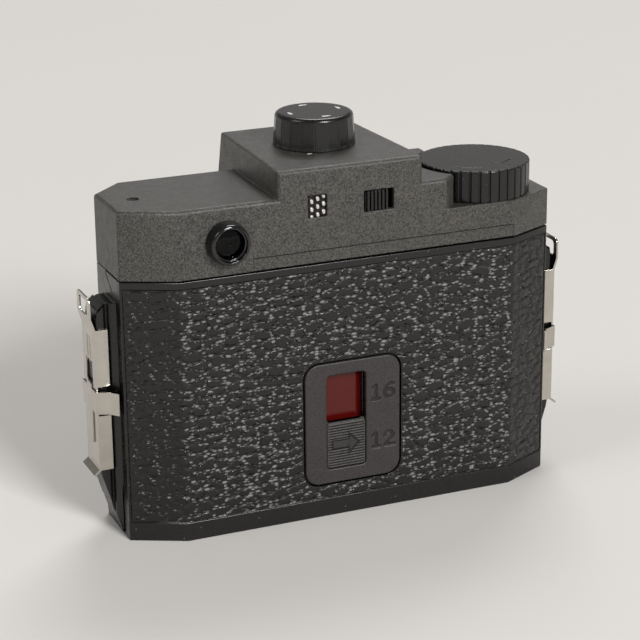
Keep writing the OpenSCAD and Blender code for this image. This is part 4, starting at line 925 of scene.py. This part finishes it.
@dataclass
class WindowPlate:
    """Matt plate with the counter's opening and the two row numbers sunk into it."""

    rim: RoundedBox = RoundedBox((-0.2, 28.95), (30.1, 37.5), 4.5)
    view: RoundedBox = RoundedBox((1.85, 29.2), (12.5, 29.2), 1.3)
    front: float = 19.9
    thick: float = 1.38
    rim_radius: float = 0.45
    numeral_height: float = 5.0
    stroke: float = 0.95
    stroke_slope: float = 0.14
    depth: float = 0.4
    rows: tuple[tuple[str, float], ...] = (("16", 34.1), ("12", 19.0))
    text_left: float = -6.2

    def reach(self, angles: Array, box: RoundedBox) -> Array:
        """How far a ray from the opening's centre goes to an outline, found by halving."""
        low, high = np.zeros_like(angles), np.full_like(angles, 60.0)
        x, z = self.view.centre
        for _ in range(40):
            mid = (low + high) / 2
            inside = box.distance(x + mid * np.cos(angles), z + mid * np.sin(angles)) < 0
            low, high = np.where(inside, mid, low), np.where(inside, high, mid)
        return low

    def strokes(self) -> list[list[Pair]]:
        """The pen strokes of both rows in X and Z; text runs towards -X, as the reader sees it."""
        size = self.numeral_height
        return [
            [(self.text_left - i * 0.72 * size - u * size, foot + v * size) for u, v in stroke]
            for text, foot in self.rows
            for i, digit in enumerate(text)
            for stroke in NUMERALS[digit]
        ]

    def build(self, shop: Workshop) -> None:
        """Makes the plate as a ring of rays from the opening to the rim, closed round its back."""
        angles = full_turn(900)
        inner, outer = self.reach(angles, self.view), self.reach(angles, self.rim)
        inside = np.linspace(0.035, 0.965, 66)
        share = np.concatenate([[0, 0.004, 0.012, 0.022], inside, [0.978, 0.988, 0.996, 1]])
        radius = inner[:, None] + (outer - inner)[:, None] * share[None, :]
        x = self.view.centre[0] + radius * np.cos(angles)[:, None]
        z = self.view.centre[1] + radius * np.sin(angles)[:, None]
        near = np.minimum(self.view.distance(x, z), -self.rim.distance(x, z)).clip(0)
        drop = self.rim_radius * (1 - np.sqrt(1 - (1 - np.clip(near / self.rim_radius, 0, 1)) ** 2))
        pen = stroke_distance(x, z, self.strokes()) - self.stroke / 2
        cut = 1 - smoothstep(-self.stroke_slope, self.stroke_slope, pen)
        ring = np.stack([x, self.front - drop - self.depth * cut, z], axis=-1)
        first, last = ring[:, :1].copy(), ring[:, -1:].copy()
        first[..., 1] = last[..., 1] = self.front - self.thick
        points = np.concatenate([first, ring, last], axis=1)
        faces = grid_faces(*points.shape[:2], wrap_rows=True, wrap_columns=True)
        # The sunk strokes of the numerals get painted shade through the mask.
        shop.piece("number_plate", points.reshape(-1, 3), faces, MATT_ABS, "back", "plate_grey",
                   ("window_plate",), shade_mask=np.pad(0.75 * cut, ((0, 0), (1, 1))))


@dataclass
class CounterSlider:
    """Ribbed slide that covers one of the two rows, with an arrow left smooth between its ribs."""

    pad: RoundedBox = RoundedBox((1.85, 21.8), (12.2, 14.0), 1.0)
    base_x: Pair = (-5.55, 9.25)
    front: float = 19.7
    base_front: float = 18.4
    back: float = 17.0
    ribs: int = 17
    rib_depth: float = 0.45
    arrow_depth: float = 0.26
    border_depth: float = 0.14
    shaft: Pair = (6.16, 0.6)
    shaft_half: float = 1.2
    head: Pair = (0.85, -2.03)
    head_half: float = 2.75
    arrow_z: float = 21.85

    def arrow(self, x: Array, z: Array) -> Array:
        """Distance outside an arrow that points to the reader's right, negative inside it."""
        v = np.abs(z - self.arrow_z)
        mid, half = sum(self.shaft) / 2, (self.shaft[0] - self.shaft[1]) / 2
        shaft = np.maximum(np.abs(x - mid) - half, v - self.shaft_half)
        length = self.head[0] - self.head[1]
        slope = math.hypot(length, self.head_half)
        side = ((self.head[1] - x) * self.head_half + v * length) / slope
        return np.minimum(shaft, np.maximum(side, x - self.head[0]))

    def build(self, shop: Workshop) -> None:
        """Makes the slide's ribbed pad and the base that runs behind the plate."""
        (mid, middle), (wide, high), corner = self.pad.centre, self.pad.size, self.pad.corner
        z_range = (middle - high / 2, middle + high / 2)
        z = np.linspace(*z_range, 280)
        into = np.clip(corner - np.minimum(z - z[0], z[-1] - z), 0, corner)
        width = wide / 2 - corner + np.sqrt(corner**2 - into**2)
        gx = mid + np.linspace(-1, 1, 140)[:, None] * width[None, :]
        gz = np.broadcast_to(z, gx.shape)
        wave = 0.5 - 0.5 * np.cos(TURN * (gz - z_range[0]) * self.ribs / high)
        gap = 1 - smoothstep(0.12, 0.6, wave)
        arrow = self.arrow(gx, gz)
        smooth = 1 - smoothstep(-0.1, 0.1, arrow)
        border = smoothstep(0.42, 0.12, np.abs(arrow - 0.15))
        rim = -self.pad.distance(gx, gz)
        groove = gap * (1 - smooth) * smoothstep(0.25, 0.6, rim)
        drop = self.rib_depth * groove + self.arrow_depth * smooth + self.border_depth * border
        gy = self.front - drop - 0.3 * (1 - smoothstep(0.0, 0.35, rim))
        # Painted shade: darkest in the grooves, strong along the arrow's border as its shadow edge, and over
        # the sunk arrow.
        shade_mask = np.clip(groove + 0.9 * border + 0.65 * smooth, 0, 1)
        points, faces = closed_block(gx, gy, gz, self.back)
        shop.piece("counter_pad", points, faces, SLIDE_ABS, "counter", "slider_black", ("counter_slider",),
                   shade_mask=np.pad(shade_mask, 2, mode="edge"))
        bx, bz = np.meshgrid(np.linspace(*self.base_x, 12), np.linspace(*z_range, 12), indexing="ij")
        points, faces = closed_block(bx, np.full(bx.shape, self.base_front), bz, self.back)
        shop.piece("counter_base", points, faces, SLIDE_ABS, "counter", "slider_black")


@dataclass
class SealFoam:
    """Foam frame that seals the red window against the film's backing paper."""

    outer: RoundedBox = RoundedBox((1.85, 29.2), (23.5, 36.2), 2.0)
    inner: RoundedBox = RoundedBox((1.85, 29.2), (16.9, 33.6), 1.0)
    y_range: Pair = (14.6, 14.98)
    fill: float = 0.9

    def build(self, shop: Workshop) -> None:
        """Makes the frame as a loop of sections with crowned faces: both sides bulge as half an ellipse."""
        outer, inner = self.outer.outline(48), self.inner.outline(48)
        turn = full_turn(28)
        across = 0.5 + 0.5 * np.sign(np.cos(turn)) * np.abs(np.cos(turn)) ** 0.35
        thick = np.sign(np.sin(turn)) * np.abs(np.sin(turn)) ** 0.5
        place = inner[:, None] + (outer - inner)[:, None] * across[None, :, None]
        mid, half = sum(self.y_range) / 2, (self.y_range[1] - self.y_range[0]) / 2
        y = np.broadcast_to(mid + half * thick, place.shape[:2])
        points = places(place[..., 0], y, place[..., 1])
        faces = grid_faces(len(outer), turn.size, wrap_rows=True, wrap_columns=True)
        obj = shop.piece("seal_foam", points, faces, FOAM, "back", "foam_grey", ("window_foam",))


@dataclass
class WindingKnob:
    """Broad winding knob with flat ribs and two thin curves engraved in its top."""

    centre: Triple = (-46.6, 3.7, 89.75)
    radius: float = 16.6
    height: float = 9.4
    wall: float = 2.2
    top: float = 2.0
    boss_r: float = 6.4
    bore_r: float = 4.01
    rim: float = 0.5
    ribs: int = 36
    groove_width: float = 0.66
    groove_slope: float = 0.08
    groove_depth: float = 0.6
    engraving: float = 0.26
    # Radius in mm and angle in degrees of the places that the two engraved curves run through
    curves: tuple[tuple[Pair, ...], ...] = (
        ((12.0, 35.0), (12.1, 48.0), (12.0, 62.0), (11.9, 75.0)),
        ((7.7, 100.0), (8.9, 107.0), (9.9, 115.0), (10.5, 128.0), (10.9, 146.0)),
    )
    curve_band: Pair = (6.5, 13.5)

    def profile(self) -> Array:
        """Radius and height round half of the knob's section, with close points on its top and wall."""
        r, h, low, inner = self.radius, self.height, self.height - self.top, self.radius - self.wall
        corners = [(0, h), (r, h), (r, 0), (inner, 0), (inner, low), (self.boss_r, low), (self.boss_r, 0),
                   (self.bore_r, 0), (self.bore_r, low), (0, low)]
        path = rounded_path(corners, [0, self.rim, 0.3, 0.2, 0.2, 0.1, 0.1, 0.1, 0.1, 0])
        start = int(np.argmax(path[:, 0] > r - self.rim - 0.01))
        split = int(np.argmax(path[:, 1] < h - self.rim + 0.01))
        top = np.stack([np.linspace(0, r - self.rim - 0.05, 90), np.full(90, h)], axis=-1)
        wall = np.stack([np.full(12, r), np.linspace(h - self.rim - 0.1, 0.4, 12)], axis=-1)
        return np.concatenate([top, path[start : split + 1], wall, path[split + 1 :]])

    def build(self, shop: Workshop) -> None:
        """Makes the knob as one turned surface whose outer wall steps in at each groove."""
        profile = self.profile()
        r, across, level = self.radius, profile[:, 0], profile[:, 1]
        angles = full_turn(self.ribs * 26)
        period = (angles / TURN * self.ribs) % 1.0
        aside = np.minimum(period, 1 - period) * TURN * r / self.ribs - self.groove_width / 2
        groove = 1 - smoothstep(-self.groove_slope, self.groove_slope, aside)
        grooved = groove[:, None] * smoothstep(r - 0.7, r - 0.05, across)[None, :]
        swept, px, py = swept_profile(profile, angles, self.groove_depth * grooved)
        band = (level > self.height - 0.01) & (across > self.curve_band[0]) & (across < self.curve_band[1])
        curves = [[polar(*place) for place in curve] for curve in self.curves]
        cut = engraved(px, py, band, curves, (0.1, 0.3))
        swept[..., 1] -= self.engraving * cut
        points = turned_points(swept, angles, self.centre)
        faces = grid_faces(angles.size, len(profile), wrap_rows=True)
        # The grooves and engraved curves get a faint painted shade through the mask.
        shop.piece("ribbed_knob", points, faces, CONTROL_ABS, "winder", "knob_black", ("winding_knob",),
                   shade_mask=np.clip(grooved + cut, 0, 1))


@dataclass
class FilterDial:
    """Dial with shallow flats round its wall, a soft rim, four painted marks and its shaft."""

    centre: Triple = (0.2, -6.5, 106.5)
    foot_r: float = 12.1
    top_r: float = 11.4
    height: float = 9.5
    rim: float = 1.5
    flats: int = 20
    first_flat: float = 5.5
    line_depth: float = 0.1
    pit_depth: float = 0.2
    shaft_r: float = 3.5
    shaft_l: float = 6.2
    mark_radius: float = 7.7
    first_mark: float = 93.5
    mark_half: Pair = (1.4, 0.55)
    # Radius and angle of small pits in the top
    pits: tuple[Pair, ...] = ((8.8, -133.0), (6.9, 47.0))
    index_mark: Triple = (6.4, 4.8, 106.4)
    index_half: Pair = (0.75, 0.4)

    def profile(self) -> Array:
        """Radius and height round half of the dial's section, with close points on its top and wall."""
        h = self.height
        shaft = [(self.shaft_r, 0), (self.shaft_r, -self.shaft_l), (0, -self.shaft_l)]
        corners = [(0, h), (self.top_r, h), (self.foot_r, 0), *shaft]
        path = rounded_path(corners, [0, self.rim, 0.25, 0.1, 0.2, 0], steps=11)
        split = int(np.argmax(path[:, 1] < h - self.rim * 0.98))
        top, foot = path[split], path[split + 1]
        t = np.linspace(0.06, 0.94, 16)[:, None]
        level = np.stack([np.linspace(0, self.top_r - self.rim - 0.1, 70), np.full(70, h)], axis=-1)
        return np.concatenate([level, path[1 : split + 1], top + (foot - top) * t, path[split + 1 :]])

    def build(self, shop: Workshop) -> None:
        """Makes the dial with its pits, its four marks, and the index mark on the cover behind it.

        A flat's middle is nearer to the axis than its borders by the cosine of half its angle.
        """
        profile = self.profile()
        h, across, level = self.height, profile[:, 0], profile[:, 1]
        angles = full_turn(self.flats * 32)
        half = math.pi / self.flats
        inside = (angles - math.radians(self.first_flat) + half) % (2 * half) - half
        flat = 1 - math.cos(half) / np.cos(inside)
        border = smoothstep(0.26, 0.08, (half - np.abs(inside)) * self.foot_r)
        wall = smoothstep(self.top_r - 0.9, self.top_r - 0.1, across) * smoothstep(0.1, 0.8, level)
        wall = wall * (1 - smoothstep(h - 1.6, h - 0.9, level))
        inward = (self.foot_r * flat + self.line_depth * border)[:, None] * wall[None, :]
        swept, px, py = swept_profile(profile, angles, inward)
        pits = [[polar(*place)] * 2 for place in self.pits]
        cut = engraved(px, py, (level > h - 0.01) & (across > 4.0), pits, (0.2, 0.5))
        swept[..., 1] -= self.pit_depth * cut
        points = turned_points(swept, angles, self.centre)
        faces = grid_faces(angles.size, len(profile), wrap_rows=True)
        # The borders of the flats and the pits get a faint painted shade through the mask.
        shop.piece("flatted_dial", points, faces, CONTROL_ABS, "dial", "dial_black", ("filter_dial",),
                   shade_mask=np.clip(border[:, None] * wall[None, :] + cut, 0, 1))
        for k in range(4):
            out = np.array(polar(1.0, self.first_mark + 90 * k))
            place = (*(np.array(self.centre[:2]) + self.mark_radius * out), self.centre[2] + h)
            self.mark(shop, f"dial_mark_{k + 1}", place, out, self.mark_half, "dial", k)
        self.mark(shop, "index_mark", self.index_mark, np.array([0.0, 1.0]), self.index_half, "chassis", 5)

    def mark(
        self, shop: Workshop, name: str, place: Triple, out: Array, half: Pair, body: str, seed: int
    ) -> None:
        """Makes one painted mark: a flat lozenge with uneven round ends whose height falls off as a dome.

        Args:
            shop: the workshop.
            name: the piece's name.
            place: its middle, on the surface that carries it.
            out: direction of its short side, as a unit vector across the axis.
            half: half its length and half its width.
            body: the body that it rides on.
            seed: makes its outline differ from the others.
        """
        side = np.array([-out[1], out[0]])
        u = full_turn(48)
        rings = np.array([1.0, 0.97, 0.8, 0.5, 0.0])
        lift = np.array([-0.12, 0.03, 0.05, 0.06, 0.06])
        bumps = 1 + 0.13 * np.cos(3 * u + seed) + 0.1 * np.cos(5 * u + 2 * seed)
        rim = np.outer(half[0] * np.cos(u) * bumps, side) + np.outer(half[1] * np.sin(u) * bumps, out)
        flat = np.array(place[:2]) + rings[None, :, None] * rim[:, None]
        points = places(flat[..., 0], flat[..., 1], np.broadcast_to(place[2] + lift, flat.shape[:2]))
        slot = "dial_black" if body == "dial" else "body_black"
        shop.piece(name, points, grid_faces(u.size, rings.size, wrap_rows=True), MARK_PAINT, body, slot)


@dataclass
class Eyepiece:
    """Polished ring round the finder's eye lens."""

    centre: Triple = (37.7, 20.0, 88.2)
    foot_r: float = 6.35
    lip_r: float = 5.7
    step_r: float = 4.75
    bore_r: float = 4.35
    seat_r: float = 5.2
    seat_bore_r: float = 3.6
    reach: float = 4.1
    seat: float = -3.5

    def build(self, shop: Workshop) -> None:
        """Makes the ring as a closed turned profile: cone, round lip, step and seat."""
        top = self.reach
        corners = [
            (self.seat_r, self.seat), (self.seat_r, 0.0), (self.foot_r, 0.0), (self.lip_r, top),
            (self.step_r, top), (self.step_r, top - 1.2), (self.bore_r, top - 1.3), (self.bore_r, 0.5),
            (self.seat_bore_r, 0.5), (self.seat_bore_r, self.seat),
        ]
        path = rounded_path(corners, [0.1, 0.02, 0.25, 0.75, 0.3, 0.12, 0.12, 0.1, 0.1, 0.1], steps=8)
        angles = full_turn(160)
        points = turned_points(path, angles, self.centre, up=False)
        faces = grid_faces(angles.size, len(path), wrap_rows=True, wrap_columns=True)
        shop.piece("eyepiece", points, faces, POLISHED_ABS, "chassis", "eyepiece_black", ("eyepiece_ring",))


@dataclass
class ReadyWindow:
    """Clear window of the ready lamp, moulded as three columns of small round lenses."""

    x_range: Pair = (7.6, 13.0)
    z_range: Pair = (92.1, 98.1)
    front: float = 19.15
    back: float = 17.0
    bulge: float = 0.75
    columns: int = 3
    rows: float = 2.6

    def dome(self, u: Array, v: Array) -> Array:
        """Blunt dome over each lens: a sine in both directions, raised to a power below 1."""
        return np.abs(np.sin(math.pi * u)) ** 0.6 * np.abs(np.sin(math.pi * v)) ** 0.45

    def build(self, shop: Workshop) -> None:
        """Makes the window, with each column of lenses a little higher than the one before."""
        x, z = np.meshgrid(np.linspace(*self.x_range, 90), np.linspace(*self.z_range, 100), indexing="ij")
        u = (x - self.x_range[0]) / (self.x_range[1] - self.x_range[0]) * self.columns
        v = (z - self.z_range[0]) / (self.z_range[1] - self.z_range[0]) * self.rows
        v = v + 0.3 * np.floor(u)
        dome = self.dome(u, v)
        # Painted light: each lens keeps its pale colour only where it overlaps a shifted copy of itself, as
        # if lit from one side, and the rest gets painted shade.
        lit = np.minimum(dome, self.dome(u + 0.1, v - 0.16))
        shade_mask = 1 - smoothstep(0.61, 0.79, lit)
        points, faces = closed_block(x, self.front + self.bulge * dome, z, self.back)
        shop.piece("ready_lenses", points, faces, FROSTED_ACRYLIC, "chassis", "lamp_clear",
                   ("ready_window",), shade_mask=np.pad(shade_mask, 2, mode="edge"))


@dataclass
class ClipRibs:
    """Raised ribs pressed into both steel clips above their window."""

    out_x: float = 73.3
    mid_y: float = 1.05
    spread: float = 1.1
    z_range: Pair = (52.2, 60.4)
    height: float = 0.24
    width: float = 0.3
    drop: float = 1.2

    def build(self, shop: Workshop) -> None:
        """Makes two ribs on each clip, each a stretched dome with blunt ends."""
        u, t = full_turn(24), np.linspace(-1, 1, 25)
        swell = (1 - t**4) ** 0.5
        mid, half = sum(self.z_range) / 2, (self.z_range[1] - self.z_range[0]) / 2
        for clip, k in (("left", -1), ("left", 1), ("right", -1), ("right", 1)):
            x = self.out_x + self.height * np.cos(u)[:, None] * swell
            y = self.mid_y + k * self.spread + self.width * np.sin(u)[:, None] * swell
            z = np.broadcast_to(mid + half * t, x.shape)
            if clip == "right":
                x, y, z = -x, 2 * self.mid_y - y, z - self.drop
            faces = grid_faces(u.size, t.size, wrap_rows=True)
            name = f"clip_rib_{clip}_{'a' if k < 0 else 'b'}"
            shop.piece(name, places(x, y, z), faces, NICKEL, f"{clip}_clip", "clip_steel")


# Stage


@dataclass(frozen=True)
class Lamp:
    """Square lamp: azimuth right of the camera and elevation in degrees, distance and side in m, watts."""

    azimuth: float
    elevation: float
    distance: float
    side: float
    power: float


@dataclass
class Studio:
    """Pale paper floor, soft lamps and the camera of the photograph."""

    eye: Triple = (229.21, 544.95, 257.66)
    back: Triple = (0.36424, 0.87237, 0.32604)
    roll: float = -0.62
    focal_px: float = 2106.47
    frame_px: float = 640.0
    sensor: float = 36.0
    centre: Triple = (0.0, -5.0, 50.0)
    lamps: tuple[Lamp, ...] = (
        Lamp(34.0, 30.0, 5.0, 1.46, 225.0),
        Lamp(-62.0, 42.0, 5.0, 1.77, 48.0),
        Lamp(172.0, 52.0, 5.0, 2.08, 95.0),
    )
    # Heights of the direction looked in, and the world's strength below the first and above the second
    horizon: Pair = (0.1, 0.32)
    glow: Pair = (0.66, 0.25)
    glow_colour: str = "#f0eeeb"
    floor_half: float = 4000.0

    def camera(self) -> None:
        """Places the camera where the photograph was taken from."""
        back = Vector(self.back).normalized()
        right = Vector((0, 0, 1)).cross(back).normalized()
        up = back.cross(right)
        c, s = polar(1.0, self.roll)
        right, up = c * right + s * up, c * up - s * right
        data = bpy.data.cameras.new("portrait_camera")
        data.sensor_width = self.sensor
        data.lens = self.focal_px / self.frame_px * self.sensor
        data.clip_start = 0.01
        obj = add_object("portrait_camera", data)
        turn = Matrix((right, up, back)).transposed().to_4x4()
        obj.matrix_world = Matrix.Translation(Vector(self.eye) * MM) @ turn
        bpy.context.scene.camera = obj

    def light(self) -> None:
        """Hangs the lamps round the object, all of them turned to it."""
        facing = math.atan2(self.back[1], self.back[0])
        for i, lamp in enumerate(self.lamps):
            a, e = facing + math.radians(lamp.azimuth), math.radians(lamp.elevation)
            way = Vector((math.cos(a) * math.cos(e), math.sin(a) * math.cos(e), math.sin(e)))
            data = bpy.data.lights.new(f"lamp_{i + 1}", "AREA")
            data.shape = "SQUARE"
            data.size = lamp.side
            data.energy = lamp.power
            turn = way.to_track_quat("Z", "Y").to_matrix().to_4x4()
            place = Vector(self.centre) * MM + way * lamp.distance
            add_object(data.name, data).matrix_world = Matrix.Translation(place) @ turn

    def world(self) -> None:
        """Pale surroundings as in a small studio: paper near the horizon, a dimmer room above it."""
        world = bpy.data.worlds.new("studio")
        bpy.context.scene.world = world
        world.use_nodes = True
        world.node_tree.nodes.clear()
        nodes = Nodes(world.node_tree)
        way = nodes.parts(nodes.add("ShaderNodeTexCoord").outputs["Generated"])
        strength = nodes.span(way["Z"], *self.horizon, *self.glow, form="SMOOTHSTEP")
        glow = {"Color": linear(self.glow_colour), "Strength": strength}
        nodes.add("ShaderNodeOutputWorld", {"Surface": nodes.add("ShaderNodeBackground", glow).outputs[0]})

    def floor(self, shop: Workshop) -> None:
        """Lays the paper: a level square that everything stands on."""
        t = np.linspace(-self.floor_half, self.floor_half, 9)
        x, y = np.meshgrid(t, t, indexing="ij")
        mesh = make_mesh("paper_floor", places(x, y, np.zeros_like(x)), grid_faces(t.size, t.size))
        mesh.materials.append(shop.material(PAPER))
        add_object("paper_floor", mesh)


def main() -> None:
    """Loads the frame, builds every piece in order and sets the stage."""
    logging.basicConfig(level=logging.INFO, format="%(name)s: %(message)s")
    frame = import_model()
    shop = Workshop(frame)
    shop.dress_cad()
    for piece in (LeatherPanel(), WindowPlate(), CounterSlider(), SealFoam(), WindingKnob(), FilterDial(),
                  Eyepiece(), ReadyWindow(), ClipRibs()):
        piece.build(shop)
    studio = Studio()
    studio.camera()
    studio.light()
    studio.world()
    studio.floor(shop)
    bpy.context.scene.view_settings.view_transform = "Standard"


if __name__ == "__main__":
    main()
